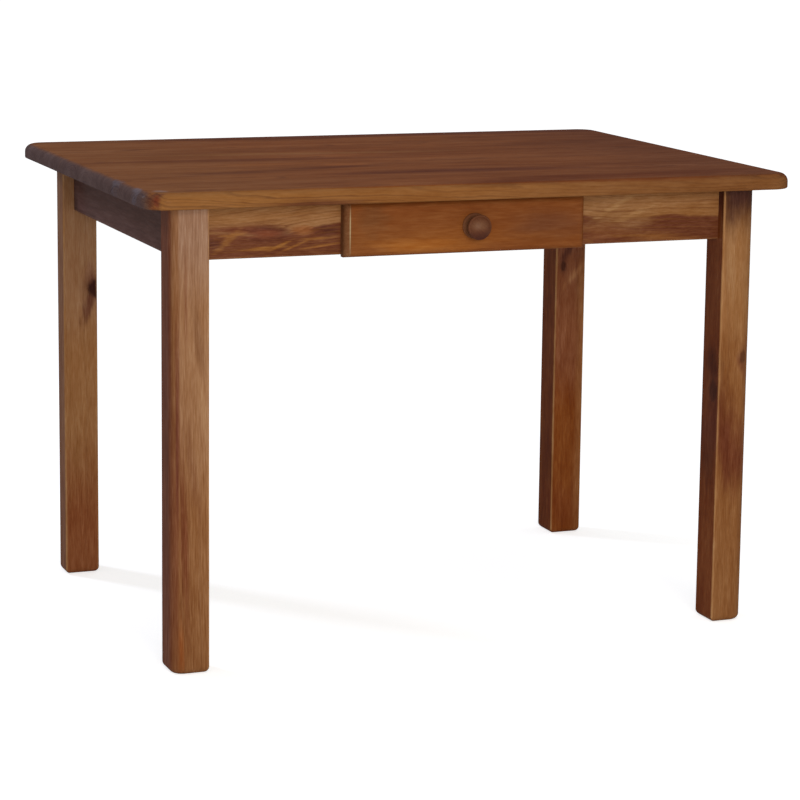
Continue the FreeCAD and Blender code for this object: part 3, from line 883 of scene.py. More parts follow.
def threads(start: float, end: float, pitch: float, core: float, crest: float) -> list[Pair]:
    """Shape the rings of a thread, with its flanks, root and crests, in millimetres.

    Args:
        start: where it begins.
        end: where it ends at the latest, on a whole turn.
        pitch: how far one turn is from the next.
        core: the radius of its root.
        crest: the radius of its crests.

    Returns:
        The radius and height of each ring.
    """
    turn_shape = ((crest, 0.0), (core, 0.42), (core, 0.58), (crest, 0.94))
    return [
        (radius, start + (turn + place) * pitch)
        for turn in range(int((end - start) / pitch)) for radius, place in turn_shape
    ]


# ---------------------------------------------------------------- studio


@dataclass(frozen=True)
class Lamp:
    """A rectangular softbox.

    place is where it hangs and aim the point that it faces, size its width and height in
    metres, watts its power, and colour its light's sRGB hex colour.
    """

    name: str
    place: Point
    aim: Point
    size: Pair
    watts: float
    colour: str


@dataclass
class Studio:
    """Floor, lights and the camera.

    near and far say, for the floor's own glow, how far from the middle it begins or ends to
    change, in metres, and how bright it is there.
    """

    camera_place: Point = (-1.68668, -4.37421, 1.25939)
    camera_yaw: float = 0.39099
    camera_pitch: float = 0.17294
    camera_roll: float = -0.01542
    camera_sight: float = 100.0
    lens_mm: float = 124.89
    sensor_mm: float = 36.0
    shift: Pair = (-0.07, -0.07)
    sky: str = "dfe3ea"
    sky_strength: float = 0.42
    white: str = "ffffff"
    floor_half: float = 40.0
    floor_paint: str = "dcdcda"
    near: Pair = (1.2, 0.66)
    far: Pair = (7.0, 0.86)
    lamps: tuple[Lamp, ...] = (
        Lamp("key", (-0.7, -4.3, 1.35), (0, -0.3, 0.4), (2.4, 1.8), 118, "fff6ea"),
        Lamp("overhead", (0.3, -0.2, 3.3), (0, 0, 0.7), (2.4, 1.8), 24, "ffffff"),
        Lamp("window", (-2.2, 2.6, 2.2), (-0.3, 0, 0.5), (0.4, 0.6), 45, "dfe8ff"),
    )

    def build(self) -> None:
        """Make the floor, the world, the lamps and the camera."""
        self.make_camera()
        self.make_world()
        self.make_floor()
        self.make_lamps()
        bpy.context.scene.view_settings.view_transform = "Standard"

    def make_camera(self) -> None:
        """Place the camera and make it the scene's own."""
        data = bpy.data.cameras.new("camera")
        data.lens = self.lens_mm
        data.sensor_width = self.sensor_mm
        data.shift_x, data.shift_y = self.shift
        data.clip_end = self.camera_sight
        camera = bpy.data.objects.new("camera", data)
        bpy.context.collection.objects.link(camera)
        turn = Matrix.Rotation(-self.camera_yaw, 4, "Z")
        tilt = Matrix.Rotation(math.pi / 2 - self.camera_pitch, 4, "X")
        roll = Matrix.Rotation(-self.camera_roll, 4, "Z")
        camera.matrix_world = Matrix.Translation(self.camera_place) @ turn @ tilt @ roll
        bpy.context.scene.camera = camera

    def seen(self, tree: Tree, lit: Socket, shown: Socket) -> Socket:
        """Show one shader to the camera and in gloss or glass, and light by another.

        Args:
            tree: the node tree.
            lit: the shader that lights.
            shown: the shader that shows.

        Returns:
            The two, mixed by the kind of ray.
        """
        path = add_node(tree, "LightPath").outputs
        factor = path["Is Camera Ray"]
        for name in ("Is Glossy Ray", "Is Transmission Ray"):
            factor = add_node(tree, "Math", (factor, path[name]), operation="MAXIMUM").outputs[0]
        return add_node(tree, "MixShader", (factor, lit, shown)).outputs[0]

    def make_world(self) -> None:
        """Light the object with a plain grey world that the camera sees as white."""
        world = bpy.data.worlds.new("studio")
        world.use_nodes = True
        tree = world.node_tree
        tree.nodes.clear()
        lit = add_node(tree, "Background", {
            "Color": srgb(self.sky), "Strength": self.sky_strength,
        }).outputs[0]
        shown = add_node(tree, "Background", {"Color": srgb(self.white)}).outputs[0]
        add_node(tree, "OutputWorld", {"Surface": self.seen(tree, lit, shown)})
        bpy.context.scene.world = world

    def make_floor(self) -> None:
        """Lay the pale floor, which shows near white and keeps the table's soft shadow."""
        floor = primitive("plane", size=2 * self.floor_half, location=(0, 0, 0))
        floor.name = "floor"
        material = new_material("floor_matt_white_paint")
        tree = material.node_tree
        place = add_node(tree, "TexCoord").outputs["Object"]
        away = add_node(tree, "VectorMath", (place,), operation="LENGTH").outputs["Value"]
        strength = add_node(tree, "MapRange", {
            "Value": away, "From Min": self.near[0], "From Max": self.far[0],
            "To Min": self.near[1], "To Max": self.far[1],
        }).outputs["Result"]
        glow = add_node(tree, "Emission", {"Color": srgb(self.white), "Strength": strength})
        paint = add_node(tree, "BsdfDiffuse", {"Color": srgb(self.floor_paint)}).outputs[0]
        shown = add_node(tree, "AddShader", (paint, glow.outputs[0])).outputs[0]
        add_node(tree, "OutputMaterial", {"Surface": self.seen(tree, paint, shown)})
        floor.data.materials.append(material)

    def make_lamps(self) -> None:
        """Hang the front softbox, the overhead one and the cool window behind."""
        for lamp in self.lamps:
            data = bpy.data.lights.new(lamp.name, "AREA")
            data.shape = "RECTANGLE"
            data.size, data.size_y = lamp.size
            data.energy = lamp.watts
            data.color = srgb(lamp.colour)[:3]
            softbox = bpy.data.objects.new(lamp.name, data)
            bpy.context.collection.objects.link(softbox)
            softbox.location = lamp.place
            facing = Vector(lamp.aim) - Vector(lamp.place)
            softbox.rotation_euler = facing.to_track_quat("-Z", "Y").to_euler()


# ---------------------------------------------------------------- the table's woodwork


@dataclass
class Woodwork:
    """A sub-assembly of boards, each the frame's own solid dressed in a wood of its own."""

    pieces: tuple[Board, ...] = ()

    def boards(self) -> list[Board]:
        """Return how each piece is cut and marked."""
        return list(self.pieces)

    def build(self) -> list[str]:
        """Dress each piece and return the lines for the log."""
        return [dress(board.node, WoodShader(board).build()) for board in self.boards()]


# Streaks and patches of other colour on the top's boards, by the board's number, most where the
# boards drank more or less of the stain. The pale grey patches on the rounding at the left end
# of the first two boards are a painted highlight and painted reflections of a window.
TOP_CLOUDS = {
    1: (
        Cloud((-0.46, -0.4, 0.748), (0.30, 0.03), "865a30", 0.6),
        Cloud((0.36, -0.4, 0.748), (0.40, 0.032), "6c4426", 0.65),
        Cloud((0.26, -0.388, 0.758), (0.36, 0.009), "693317", 0.75, 0.0, 0.4),
        Cloud((-0.29, -0.4, 0.7335), (0.14, 0.006), "5a3424", 0.8, 0.0, 0.4),
        # A painted highlight on the rounding of the front left corner.
        Cloud((-0.519, -0.363, 0.757), (0.014, 0.016), "887872", 0.5, 0.3, 0.3),
        Cloud((-0.535, -0.388, 0.752), (0.02, 0.012), "55332b", 0.7, 0.0, 0.4),
        # A painted reflection of a window on the rounding of the left end.
        Cloud((-0.543, -0.325, 0.755), (0.009, 0.024), "6d666e", 0.55, 0.0, 0.5),
        Cloud((-0.533, -0.393, 0.750), (0.007, 0.008), "6c3221", 0.7, 0.0, 0.3),
        Cloud((0.22, -0.345, 0.76), (0.36, 0.055), "5d2b14", 0.8, 0.0, 0.4),
    ),
    2: (
        Cloud((0.06, -0.208, 0.76), (0.34, 0.045), "4f241a", 0.65, 0.02, 0.5),
        Cloud((-0.33, -0.152, 0.76), (0.16, 0.028), "542a1c", 0.5, -0.2, 0.5),
        # A painted reflection of a window on the rounding of the left end.
        Cloud((-0.543, -0.215, 0.755), (0.009, 0.026), "69626a", 0.5, 0.0, 0.5),
    ),
    3: (
        Cloud((-0.24, -0.045, 0.76), (0.20, 0.020), "854e28", 0.6, 0.05, 0.5),
        Cloud((-0.12, -0.080, 0.76), (0.06, 0.020), "8e5129", 0.6, 0.0, 0.5),
        Cloud((-0.16, -0.118, 0.76), (0.12, 0.022), "512719", 0.6, -0.1, 0.5),
    ),
    4: (
        Cloud((-0.18, 0.103, 0.76), (0.38, 0.020), "825530", 0.5, 0.08, 0.5),
        Cloud((-0.25, 0.022, 0.76), (0.36, 0.030), "572a1c", 0.5, 0.06, 0.5),
    ),
}


@dataclass
class TableTop(Woodwork):
    """The top: boards glued edge to edge, a little redder than the frame.

    edge_full and end_full are how far inside the board's side and end their colours are
    complete, arris how far from the rounding's start the arris begins and ends, and stray and
    end_stray how far those lines wander. Each look is a colour and its share. pith_depth and
    shade are a first value and how far a board may go past it, and pith_across and lean_across
    the whole of a swing about 0.
    """

    count: int = 6
    half_length: float = 0.55
    half_board: float = 0.0667
    edge_round: float = 0.014
    edge_full: float = 0.007
    end_full: float = 0.004
    arris: Pair = (-0.001, 0.003)
    stray: float = 0.003
    end_stray: float = 0.001
    pith_across: float = 0.05
    pith_depth: Pair = (-0.05, 0.03)
    lean_across: float = 0.02
    lean_through: float = 0.03
    shade: Pair = (0.96, 0.08)
    finish: StainedPine = StainedPine(
        ground="6e3d21", line="4e2818", tint="844d2a", deep="4c2618", ring_mm=3.6,
        ring_share=0.8, canal_share=0.2, fibre_mm=3.0, fibre_length_mm=16.0, fibre_share=0.13,
        patch_share=0.17, patch_mm=45.0, patch_length_mm=260.0, tint_share=0.45,
        mottle_share=0.16, mottle_mm=20.0, mottle_length_mm=70.0, wear_and_glint=0.0, lacquer=0.03,
    )
    edge_look: tuple[str, float] = ("83572f", 0.92)
    # The end colour is dark end grain, with a grey tint that is a painted cool reflection.
    end_look: tuple[str, float] = ("574644", 0.9)
    arris_look: tuple[str, float] = ("83491f", 0.8)
    pale_end: Zone = Zone(Side.ALONG, -0.1, -0.5, "7d4f2e", 0.65)
    dark_end: Zone = Zone(Side.ALONG, 0.15, 0.5, "5c3220", 0.6)
    far_arris: Zone = Zone(Side.ACROSS, 0.0, 0.018, "52281d", 0.7, 0.008)

    def zones(self, number: int) -> tuple[Zone, ...]:
        """Mark where a board's ends and rounded edges took the stain in another way.

        Args:
            number: the board's number, counted from the front.

        Returns:
            The zones, the lowest first.
        """
        marks = [self.far_arris] if number == self.count else []
        marks += [self.pale_end, self.dark_end]
        if number in (1, self.count):
            sign = -1 if number == 1 else 1
            start, full = self.half_board - self.edge_round, self.half_board - self.edge_full
            first, last = (sign * (start + step) for step in self.arris)
            marks += [
                Zone(Side.ACROSS, first, last, *self.arris_look, self.stray),
                Zone(Side.ACROSS, last, sign * full, *self.edge_look, self.stray),
            ]
        start, full = self.half_length - self.edge_round, self.half_length - self.end_full
        marks += [
            Zone(Side.ALONG, sign * start, sign * full, *self.end_look, self.end_stray)
            for sign in (-1, 1)
        ]
        return tuple(marks)

    def boards(self) -> list[Board]:
        """Cut each board from its own place in the log.

        Returns:
            How each board is cut and marked.
        """
        boards = []
        for number in range(1, self.count + 1):
            node = f"top_board_{number}"
            turn = seeded(node, 1) - 0.5
            depth = self.pith_depth[0] - self.pith_depth[1] * seeded(node, 2)
            boards.append(Board(
                node, GrainRun.LENGTHWISE, self.finish, (self.pith_across * turn, depth),
                (self.lean_across * turn, self.lean_through),
                shade=self.shade[0] + self.shade[1] * seeded(node, 3),
                zones=self.zones(number), clouds=TOP_CLOUDS.get(number, ()),
            ))
        return boards


@dataclass
class Legs(Woodwork):
    """Four square legs with straight upright grain, paler along the arrises.

    The left face of each took more of the stain than its front. The paler arrises are a painted
    highlight, where the arrises would catch the light.
    """

    # Each finish below pales the arrises strongly, as a painted highlight where they catch the
    # light.
    rosy: StainedPine = StainedPine(
        ground="936c4d", line="744c33", tint="8c6444", deep="5a3122", ring_mm=3.6,
        ring_share=0.55, fibre_mm=2.0, fibre_length_mm=34.0, fibre_share=0.3,
        mottle_share=0.14, patch_share=0.16, wear_and_glint=0.7,
    )
    olive: StainedPine = StainedPine(
        ground="986b44", line="7a4f30", tint="8e633c", deep="5a3122", ring_mm=5.0,
        ring_share=0.45, fibre_mm=2.0, fibre_length_mm=22.0, fibre_share=0.24,
        mottle_share=0.2, mottle_mm=11.0, patch_share=0.2, wear_and_glint=0.7,
    )
    red: StainedPine = StainedPine(
        ground="7f4a2b", line="66361f", tint="77432a", deep="45221a", ring_mm=6.0,
        ring_share=0.5, fibre_mm=2.0, fibre_length_mm=20.0, fibre_share=0.26,
        mottle_share=0.28, mottle_mm=12.0, mottle_length_mm=60.0, patch_share=0.25, wear_and_glint=0.7,
    )
    pieces: tuple[Board, ...] = (
        # Rosy at the top, amber below.
        Board(
            "leg_front_left", GrainRun.UPRIGHT, rosy, (0.09, 0.05), (0.01, 0.012),
            zones=(
                Zone(Side.ALONG, 0.20, 0.33, "947460", 0.7, 0.02),
                Zone(Side.ALONG, 0.06, -0.12, "7f5330", 0.85, 0.03),
                Zone(Side.ACROSS, -0.0150, -0.0225, "875a38", 0.8, 0.001),
                Zone(Side.ACROSS, -0.0262, -0.0296, "6e3d29", 0.95, 0.0008),
            ),
            clouds=(
                Cloud((-0.458, -0.36, 0.53), (0.075, 0.010), "7a553b", 0.6, 0.14, 0.35),
                Cloud((-0.468, -0.36, 0.33), (0.10, 0.009), "744a30", 0.6, 0.12, 0.35),
                Cloud((-0.450, -0.36, 0.42), (0.09, 0.007), "a07a58", 0.55, 0.14, 0.35),
                Cloud((-0.480, -0.36, 0.22), (0.19, 0.008), "66341f", 0.85, 0.03, 0.4),
                Cloud((-0.486, -0.36, 0.04), (0.06, 0.006), "8a4a20", 0.7, 0.0, 0.3),
                Cloud((-0.497, -0.354, 0.20), (0.34, 0.012), "73422a", 0.85, 0.0, 0.3),
                Cloud((-0.478, -0.36, 0.60), (0.10, 0.004), "7c5138", 0.7, 0.0, 0.4),
                Cloud((-0.4905, -0.358, 0.43), (0.22, 0.004), "66362a", 0.75, 0.0, 0.5),
            ),
        ),
        # Olive, with one dark knot by the arris.
        Board(
            "leg_back_left", GrainRun.UPRIGHT, olive, (-0.08, 0.06), (0.01, 0.01),
            zones=(
                Zone(Side.ALONG, 0.02, 0.16, "9a7354", 0.75, 0.03),
                Zone(Side.ALONG, -0.08, -0.27, "7f4728", 0.9, 0.03),
                Zone(Side.ACROSS, -0.0265, -0.0295, "7a5038", 0.8),
            ),
            clouds=(
                Cloud((-0.454, 0.3, 0.484), (0.045, 0.012), "5f3426", 0.8, -0.35, 0.4),
                Cloud((-0.452, 0.3, 0.530), (0.035, 0.013), "744634", 0.6, 0.2, 0.4),
            ),
            knots=(Knot((-0.445, 0.3, 0.511), 0.0145, 1.2, 0.95),),
        ),
        # Pale above, red in the middle, amber at the foot, with painted shade at the very top
        # under the tabletop.
        Board(
            "leg_front_right", GrainRun.UPRIGHT, olive, (0.05, 0.08), (0.015, 0.01),
            zones=(
                Zone(Side.ALONG, 0.15, 0.09, "80522d", 0.85, 0.02),
                Zone(Side.ACROSS, -0.0265, -0.0295, "6b3213", 0.93),
            ),
            clouds=(
                # Painted shade at the top of the leg, under the tabletop.
                Cloud((0.462, -0.36, 0.742), (0.085, 0.07), "3f2420", 0.95, 0.2, 0.3),
                Cloud((0.460, -0.36, 0.305), (0.11, 0.055), "633220", 0.9, 0.35, 0.35),
                Cloud((0.452, -0.36, 0.620), (0.09, 0.010), "a07a55", 0.5, 0.1, 0.3),
                Cloud((0.440, -0.335, 0.44), (0.05, 0.016), "451c0c", 0.8, 0.2, 0.35),
                Cloud((0.440, -0.330, 0.27), (0.06, 0.014), "4d210d", 0.7, -0.2, 0.35),
                Cloud((0.484, -0.36, 0.435), (0.030, 0.008), "6b3a22", 0.6, 0.5, 0.3),
            ),
            knots=(
                Knot((0.484, -0.36, 0.452), 0.007, 1.8, 0.55),
                Knot((0.44, -0.341, 0.395), 0.008, 2.6, 0.6),
            ),
        ),
        # Dark red, darkest at the top, with a small knot.
        Board(
            "leg_back_right", GrainRun.UPRIGHT, red, (0.06, 0.05), (0.02, 0.01),
            zones=(
                Zone(Side.ALONG, -0.03, -0.14, "763b12", 0.9, 0.03),
                Zone(Side.ACROSS, 0.008, 0.026, "8d5b34", 0.7, 0.004),
                Zone(Side.ACROSS, -0.0265, -0.0295, "5e2b0c", 0.93),
            ),
            clouds=(
                Cloud((0.468, 0.3, 0.600), (0.10, 0.05), "613427", 0.85, 0.15, 0.25),
                Cloud((0.482, 0.3, 0.500), (0.045, 0.008), "a06c44", 0.6, -0.75, 0.6),
                Cloud((0.466, 0.3, 0.545), (0.035, 0.010), "43211c", 0.7, -0.6, 0.5),
                Cloud((0.462, 0.3, 0.05), (0.07, 0.05), "6f3617", 0.7, 0.2, 0.3),
            ),
            knots=(Knot((0.455, 0.3, 0.513), 0.006, 1.8, 0.75),),
        ),
    )


# The front apron's figure, as x and z in the row frame, the reach along and across the grain, the
# colour, share, tilt and rag: pale wood on its right, and an eye with flames round it on its left,
# and last a painted shadow under the top along the apron's upper edge.
FRONT_APRON_FIGURE = (
    (0.240, 0.702, 0.080, 0.036, "8b633f", 0.9, 0.1, 0.45),
    (0.228, 0.666, 0.055, 0.018, "754629", 0.75, 0.0, 0.4),
    (0.330, 0.657, 0.090, 0.008, "87582f", 0.8, 0.05, 0.4),
    (0.252, 0.709, 0.040, 0.006, "a78156", 0.5, -0.5, 0.7),
    (0.285, 0.696, 0.045, 0.005, "a27b50", 0.5, -0.35, 0.7),
    (-0.375, 0.693, 0.085, 0.012, "683926", 0.95, 0.02, 0.3),
    (-0.409, 0.674, 0.040, 0.007, "85572f", 0.8, -0.7, 0.4),
    (-0.428, 0.673, 0.018, 0.011, "4b2820", 0.75, 0.0, 0.4),
    (-0.340, 0.686, 0.045, 0.0155, "4a2520", 0.85, 0.0, 0.2),
    (-0.345, 0.686, 0.036, 0.0095, "74402a", 0.95, 0.0, 0.25),
    (-0.398, 0.686, 0.030, 0.0035, "8c5c30", 0.75, -0.12, 0.5),
    (-0.352, 0.663, 0.050, 0.0040, "94632f", 0.8, -0.06, 0.5),
    (-0.320, 0.667, 0.026, 0.0030, "94632f", 0.8, -0.40, 0.4),
    (-0.298, 0.665, 0.032, 0.0026, "8c5b2d", 0.8, -0.36, 0.4),
    (-0.258, 0.676, 0.045, 0.0030, "8f5f30", 0.8, -0.06, 0.5),
    (-0.254, 0.664, 0.045, 0.0026, "8c5b2d", 0.8, -0.12, 0.5),
    (-0.284, 0.690, 0.022, 0.009, "8a5530", 0.8, 0.0, 0.4),
    (-0.240, 0.688, 0.022, 0.011, "4f2b20", 0.8, 0.0, 0.4),
    # Painted shadow under the top's overhang, along the apron's upper edge.
    (-0.300, 0.733, 0.170, 0.006, "5f3a2c", 0.65, 0.0, 0.6),
)


@dataclass
class Aprons(Woodwork):
    """The four aprons under the top, the long ones half heartwood."""

    front_face: float = -0.34
    flame: StainedPine = StainedPine(
        ground="8e6643", line="6a4229", tint="8a5e36", ring_mm=4.6, ring_share=0.75,
        fibre_mm=1.8, fibre_length_mm=14.0, fibre_share=0.2, mottle_share=0.2,
        mottle_mm=7.0, mottle_length_mm=40.0, patch_share=0.16, wear_and_glint=0.2,
    )
    dark: StainedPine = StainedPine(
        ground="5a3f3b", line="432d2b", tint="62463e", ring_mm=4.6, ring_share=0.55,
        fibre_length_mm=20.0, fibre_share=0.2, mottle_share=0.25, wear_and_glint=0.1, lacquer=0.04,
    )
    heartwood: Zone = Zone(Side.FROM_PITH, 0.052, 0.0475, "5f3322", 0.95, 0.006, 0.8, "7e512b")
    eye: Knot = Knot((-0.330, -0.34, 0.6845), 0.008, 3.4, 0.0)
    long_pith: Pair = (-0.044, 0.012)
    long_wave: float = 0.022
    short_pith: Pair = (0.02, 0.06)

    def boards(self) -> list[Board]:
        """Cut the aprons, the front one with its figure.

        Returns:
            How each apron is cut and marked.
        """
        figure = tuple(
            Cloud((x, self.front_face, z), (along, across), *look)
            for x, z, along, across, *look in FRONT_APRON_FIGURE
        )
        across, through = self.long_pith
        back = Board(
            "back_apron", GrainRun.LENGTHWISE_ON_EDGE, self.flame, (across, through),
            (0.0, 0.0), self.long_wave, zones=(self.heartwood,),
        )
        return [
            replace(back, node="front_apron", pith=(across, -through), clouds=figure,
                    knots=(self.eye,)),
            back,
            Board("left_apron", GrainRun.FRONT_TO_BACK, self.dark, self.short_pith),
            Board("right_apron", GrainRun.FRONT_TO_BACK, self.flame, self.short_pith),
        ]


@dataclass
class Drawer(Woodwork):
    """The drawer: stained front and knob on a bare box, with the turn button behind it."""

    front: StainedPine = StainedPine(
        ground="7a4823", line="6a3c1f", tint="784320", ring_mm=3.0, ring_share=0.35,
        fibre_share=0.17, fibre_mm=2.2, fibre_length_mm=30.0, mottle_share=0.2,
        mottle_length_mm=40.0, mottle_mm=7.0, wear_and_glint=0.0,
    )
    knob: StainedPine = StainedPine(
        ground="5b3521", line="44241a", tint="623c28", ring_mm=4.0, ring_share=0.4, wear_and_glint=0.0,
        lacquer=0.13, lacquer_roughness=0.4,
    )
    box: BarePine = BarePine()
    pieces: tuple[Board, ...] = (
        Board(
            "drawer_front", GrainRun.LENGTHWISE_ON_EDGE, front, (0.1, -0.05),
            zones=(Zone(Side.ALONG, -0.192, -0.2, "6e4a30", 0.8),),
            clouds=(
                Cloud((-0.085, -0.36, 0.662), (0.10, 0.016), "9a5d26", 0.85, 0.0, 0.3),
                Cloud((-0.03, -0.36, 0.672), (0.14, 0.022), "854e22", 0.5, 0.0, 0.3),
                Cloud((0.125, -0.36, 0.690), (0.085, 0.03), "653c26", 0.75, 0.0, 0.3),
                Cloud((-0.175, -0.36, 0.705), (0.035, 0.03), "6c4427", 0.7, 0.0, 0.3),
                # A painted highlight along the edge of the left rounding, where it catches the
                # light.
                Cloud((-0.2125, -0.3603, 0.690), (0.0013, 0.046), "b3a27c", 0.75, 0.0, 0.15),
            ),
        ),
        Board(
            "drawer_knob", GrainRun.FRONT_TO_BACK, knob, (0.03, 0.02),
            clouds=(
                # The flange painted lighter, as painted light where the head shades it.
                Cloud((-0.004, -0.3615, 0.6895), (0.005, 0.03), "7d5236", 0.7, 0.0, 0.1),
                # Painted shade on the lower half of the knob.
                Cloud((-0.004, -0.388, 0.668), (0.020, 0.021), "3f1e17", 0.85, 0.0, 0.1),
                # A painted highlight at the upper left of the knob.
                Cloud((-0.008, -0.392, 0.694), (0.012, 0.010), "75543c", 0.4, 0.0, 0.1),
            ),
        ),
        Board("drawer_inner_front", GrainRun.LENGTHWISE_ON_EDGE, box, (0.06, 0.05)),
        Board("drawer_back", GrainRun.LENGTHWISE_ON_EDGE, box, (-0.04, 0.07)),
        Board("drawer_side_left", GrainRun.FRONT_TO_BACK, box, (0.02, 0.05)),
        Board("drawer_side_right", GrainRun.FRONT_TO_BACK, box, (-0.03, -0.06)),
        Board(
            "drawer_bottom", GrainRun.LENGTHWISE, PinePlywood(), (0.05, -0.12), (0.06, 0.12), 0.02,
        ),
        Board("stop_button", GrainRun.UPRIGHT, BareBeech(), (0.05, 0.04)),
    )


@dataclass
class DrawerSupports(Woodwork):
    """The runners, the kickers and the dowels that carry and guide the drawer.

    rail_swing is how far the piths of the rails differ across them.
    """

    rail: BarePine = BarePine()
    rail_swing: float = 0.08
    rail_depth: float = 0.05
    dowel: BareBeech = BareBeech()
    dowel_pith: Pair = (0.03, 0.02)

    def boards(self) -> list[Board]:
        """Cut every piece under and above the drawer.

        Returns:
            How each piece is cut.
        """
        boards = []
        for side in ("left", "right"):
            for kind in ("drawer_runner", "drawer_kicker"):
                node = f"{kind}_{side}"
                across = self.rail_swing * seeded(node, 1) - self.rail_swing / 2
                pith = (across, self.rail_depth)
                boards.append(Board(node, GrainRun.FRONT_TO_BACK, self.rail, pith))
        for corner in CORNERS:
            node = f"runner_dowel_{corner}"
            boards.append(Board(node, GrainRun.FRONT_TO_BACK, self.dowel, self.dowel_pith))
        return boards


@dataclass
class CornerJoints(Woodwork):
    """What holds a leg to its two aprons and the top to the frame, in each corner.

    block_pith is where a block's pith is across it, and how far through it may lie.
    """

    block: BarePine = BarePine()
    block_pith: Pair = (0.04, 0.06)
    button: BarePine = BarePine(ground="d2b184", line="b48a5a")
    button_pith: Pair = (0.03, 0.04)

    def boards(self) -> list[Board]:
        """Cut the blocks and the buttons.

        Returns:
            How each of them is cut.
        """
        boards = []
        for corner in CORNERS:
            pith = (self.block_pith[0], self.block_pith[1] * seeded(corner, 1))
            boards += [
                Board(f"corner_block_{corner}", GrainRun.LENGTHWISE, self.block, pith),
                Board(f"top_button_{corner}", GrainRun.LENGTHWISE, self.button, self.button_pith),
            ]
        return boards


# ---------------------------------------------------------------- the table's hardware


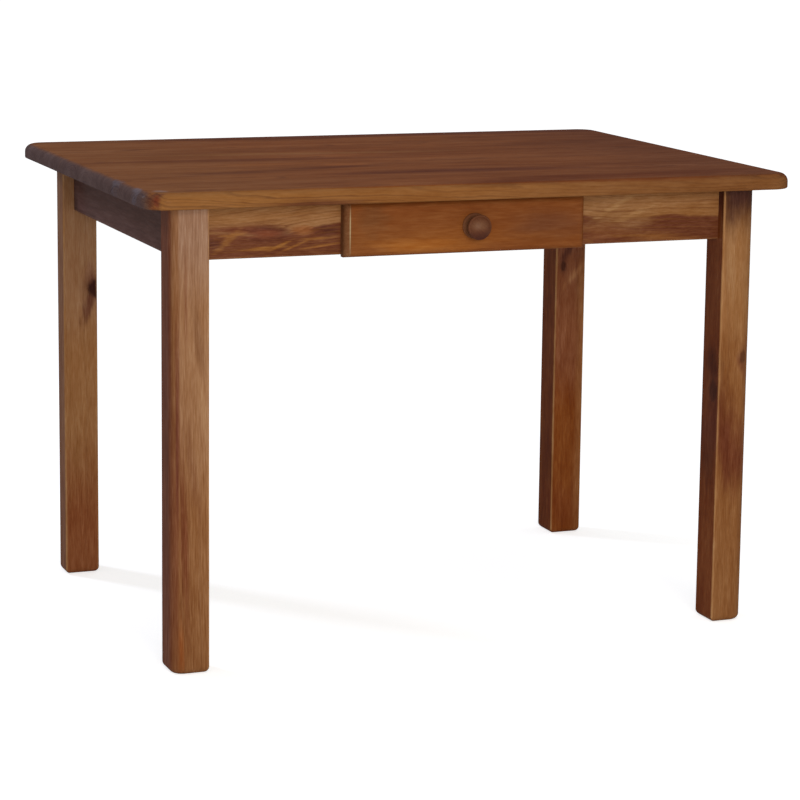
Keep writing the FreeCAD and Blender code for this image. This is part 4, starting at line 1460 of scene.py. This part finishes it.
@dataclass
class Hardware:
    """The bolts, nuts, washers and screws, all of zinc-plated steel.

    Sizes are in millimetres. The bolts and the screws have their threads, the nuts their
    chamfered corners and the screws their cross recess, where the frame has plain bodies.
    recess is how long and wide the wedge is that cuts an arm of the cross, and how deep it goes,
    and taper what share of its length and width is left at the tip.
    """

    sides: int = 32
    drum_sides: int = 48
    smooth_degrees: float = 35.0
    bolt_radius: float = 4.0
    bolt_core: float = 3.32
    bolt_pitch: float = 1.25
    bolt_in_wood: float = 36.0
    bolt_plain: float = 9.0
    bolt_tip: float = 1.0
    bolt_shoulder: float = 1.0
    nut_flats: float = 13.0
    nut_thick: float = 6.5
    nut_chamfer: float = 0.9
    screw_radius: float = 2.0
    screw_core: float = 1.4
    screw_pitch: float = 1.6
    screw_tip: float = 0.15
    screw_plain_share: float = 0.3
    head_radius: float = 4.0
    head_height: float = 2.6
    head_rim: float = 0.4
    head_chamfer: float = 0.1
    point: float = 4.0
    recess: Point = (4.4, 0.95, 1.6)
    taper: float = 0.4
    metal: ZincPlatedSteel = ZincPlatedSteel()

    def bolt(self, length: float) -> Piece:
        """Model a hanger bolt on the Z axis, from its tip in the wood to its threaded end.

        Args:
            length: how long it is.

        Returns:
            The bolt.
        """
        radius, core, wood = self.bolt_radius, self.bolt_core, self.bolt_in_wood
        end = length - self.bolt_pitch
        return turned([
            (self.bolt_tip, 0.0), (core, self.point), (core, wood - self.bolt_shoulder),
            (radius, wood), *threads(wood + self.bolt_plain, end, self.bolt_pitch, core, radius),
            (radius, end), (core, length),
        ], self.sides)

    def screw(self, length: float) -> Piece:
        """Model a countersunk screw on the Z axis, from its head's face to its point.

        Args:
            length: how long it is.

        Returns:
            The screw, with its cross recess.
        """
        rim, radius, head = self.head_radius, self.screw_radius, self.head_height
        start, end = head + self.screw_plain_share * (length - head), length - self.point
        piece = turned([
            (rim - self.head_chamfer, 0.0), (rim, self.head_chamfer), (rim, self.head_rim),
            (radius, head), *threads(start, end, self.screw_pitch, self.screw_core, radius),
            (self.screw_core, end), (self.screw_tip, length),
        ], self.sides)
        long, wide, deep = (size * MM for size in self.recess)
        for size in ((long, wide, 2 * deep), (wide, long, 2 * deep)):
            wedge = primitive("cube", size=1.0, scale=size)
            bpy.ops.object.mode_set(mode="EDIT")
            pick(wedge, "FACE", lambda middle: middle.z > AT_THE_TOP)
            bpy.ops.transform.resize(value=(self.taper, self.taper, 1))
            bpy.ops.object.mode_set(mode="OBJECT")
            cut(piece, wedge, "DIFFERENCE")
        return piece

    def nut(self) -> Piece:
        """Model a hexagon nut on the Z axis, with rounded corners and its bore.

        Returns:
            The nut.
        """
        corner, thick = self.nut_flats / math.sqrt(3) * MM, self.nut_thick * MM
        drum = primitive("cylinder", vertices=self.drum_sides, radius=corner, depth=thick)
        bpy.ops.object.mode_set(mode="EDIT")
        pick(drum, "EDGE", lambda middle: abs(middle.z) > AT_THE_TOP * thick)
        bpy.ops.mesh.bevel(offset=self.nut_chamfer * MM, segments=1)
        bpy.ops.object.mode_set(mode="OBJECT")
        piece = primitive("cylinder", vertices=6, radius=corner, depth=thick)
        cut(piece, drum, "INTERSECT")
        bore = primitive("cylinder", vertices=self.sides, radius=self.bolt_radius * MM,
                         depth=2 * thick)
        cut(piece, bore, "DIFFERENCE")
        return piece

    def put(self, model: Piece, node: str, body: str, place: Vector, along: Vector) -> Piece:
        """Put a copy of a model in the place of a CAD node.

        Args:
            model: the piece as it was modelled, on the Z axis.
            node: the node that it replaces.
            body: the body that it rides on.
            place: where the model's origin goes.
            along: where the model's Z axis points.

        Returns:
            The copy.
        """
        upright = Vector((0, 0, 1)) if abs(along.z) < STEEP else Vector((1, 0, 0))
        turn = Matrix((upright, along.cross(upright), along)).transposed().to_4x4()
        piece = model.copy()
        piece.data = model.data.copy()
        piece.name = f"{node}_finished"
        bpy.context.collection.objects.link(piece)
        activate(piece)
        piece.matrix_world = Matrix.Translation(place) @ turn
        bpy.ops.object.transform_apply(location=True, rotation=True, scale=True)
        bpy.ops.object.shade_smooth_by_angle(angle=math.radians(self.smooth_degrees))
        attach(piece, body)
        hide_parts(node)
        return piece

    def put_bolts(self) -> list[Piece]:
        """Model the hanger bolt and the nut and put them in each corner.

        A bolt lies at 45 degrees, so the box of its node is narrower than it is long.

        Returns:
            The pieces.
        """
        pieces = []
        nut = self.nut()
        low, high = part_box("hanger_bolt_front_left")
        length = (high.x - low.x) * math.sqrt(2) / MM - 2 * self.bolt_radius
        bolt = self.bolt(length)
        for corner in CORNERS:
            node = f"hanger_bolt_{corner}"
            low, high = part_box(node)
            middle = (low + high) / 2
            inwards = Vector((-math.copysign(1, middle.x), -math.copysign(1, middle.y), 0))
            inwards.normalize()
            start = middle - inwards * length * MM / 2
            pieces.append(self.put(bolt, node, "table", start, inwards))
            node = f"bolt_nut_{corner}"
            low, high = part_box(node)
            pieces.append(self.put(nut, node, "table", (low + high) / 2, inwards))
        for model in (bolt, nut):
            bpy.data.objects.remove(model)
        return pieces

    def put_screws(self) -> list[Piece]:
        """Model a screw of each length and put it in each of its places.

        Returns:
            The pieces.
        """
        up, to_front, to_back = Vector((0, 0, 1)), Vector((0, -1, 0)), Vector((0, 1, 0))
        sets = (
            (up, "table", [f"top_button_screw_{corner}" for corner in CORNERS]),
            (to_front, "drawer", ["front_screw_left", "front_screw_right"]),
            (to_front, "drawer", ["knob_screw"]),
            (to_back, "drawer", ["stop_button_screw"]),
        )
        pieces = []
        for along, body, nodes in sets:
            low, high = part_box(nodes[0])
            length = abs((high - low).dot(along))
            model = self.screw(length / MM)
            for node in nodes:
                low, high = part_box(node)
                head = (low + high) / 2 - along * length / 2
                pieces.append(self.put(model, node, body, head, along))
            bpy.data.objects.remove(model)
        return pieces

    def build(self) -> list[str]:
        """Build the pieces and dress them with their nodes.

        Returns:
            The lines for the log.
        """
        zinc = self.metal.material()
        lines = [dress(f"bolt_washer_{corner}", zinc) for corner in CORNERS]
        for piece in self.put_bolts() + self.put_screws():
            piece.data.materials.clear()
            piece.data.materials.append(zinc)
            lines.append(dress(piece.name.removesuffix("_finished"), zinc))
        return lines


def main() -> None:
    """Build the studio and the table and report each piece."""
    logging.basicConfig(level=logging.INFO)
    Studio().build()
    assemblies = (
        TableTop(), Legs(), Aprons(), Drawer(), DrawerSupports(), CornerJoints(), Hardware(),
    )
    for assembly in assemblies:
        for line in assembly.build():
            LOG.info("%s: %s", type(assembly).__name__, line)


if __name__ == "__main__":
    main()
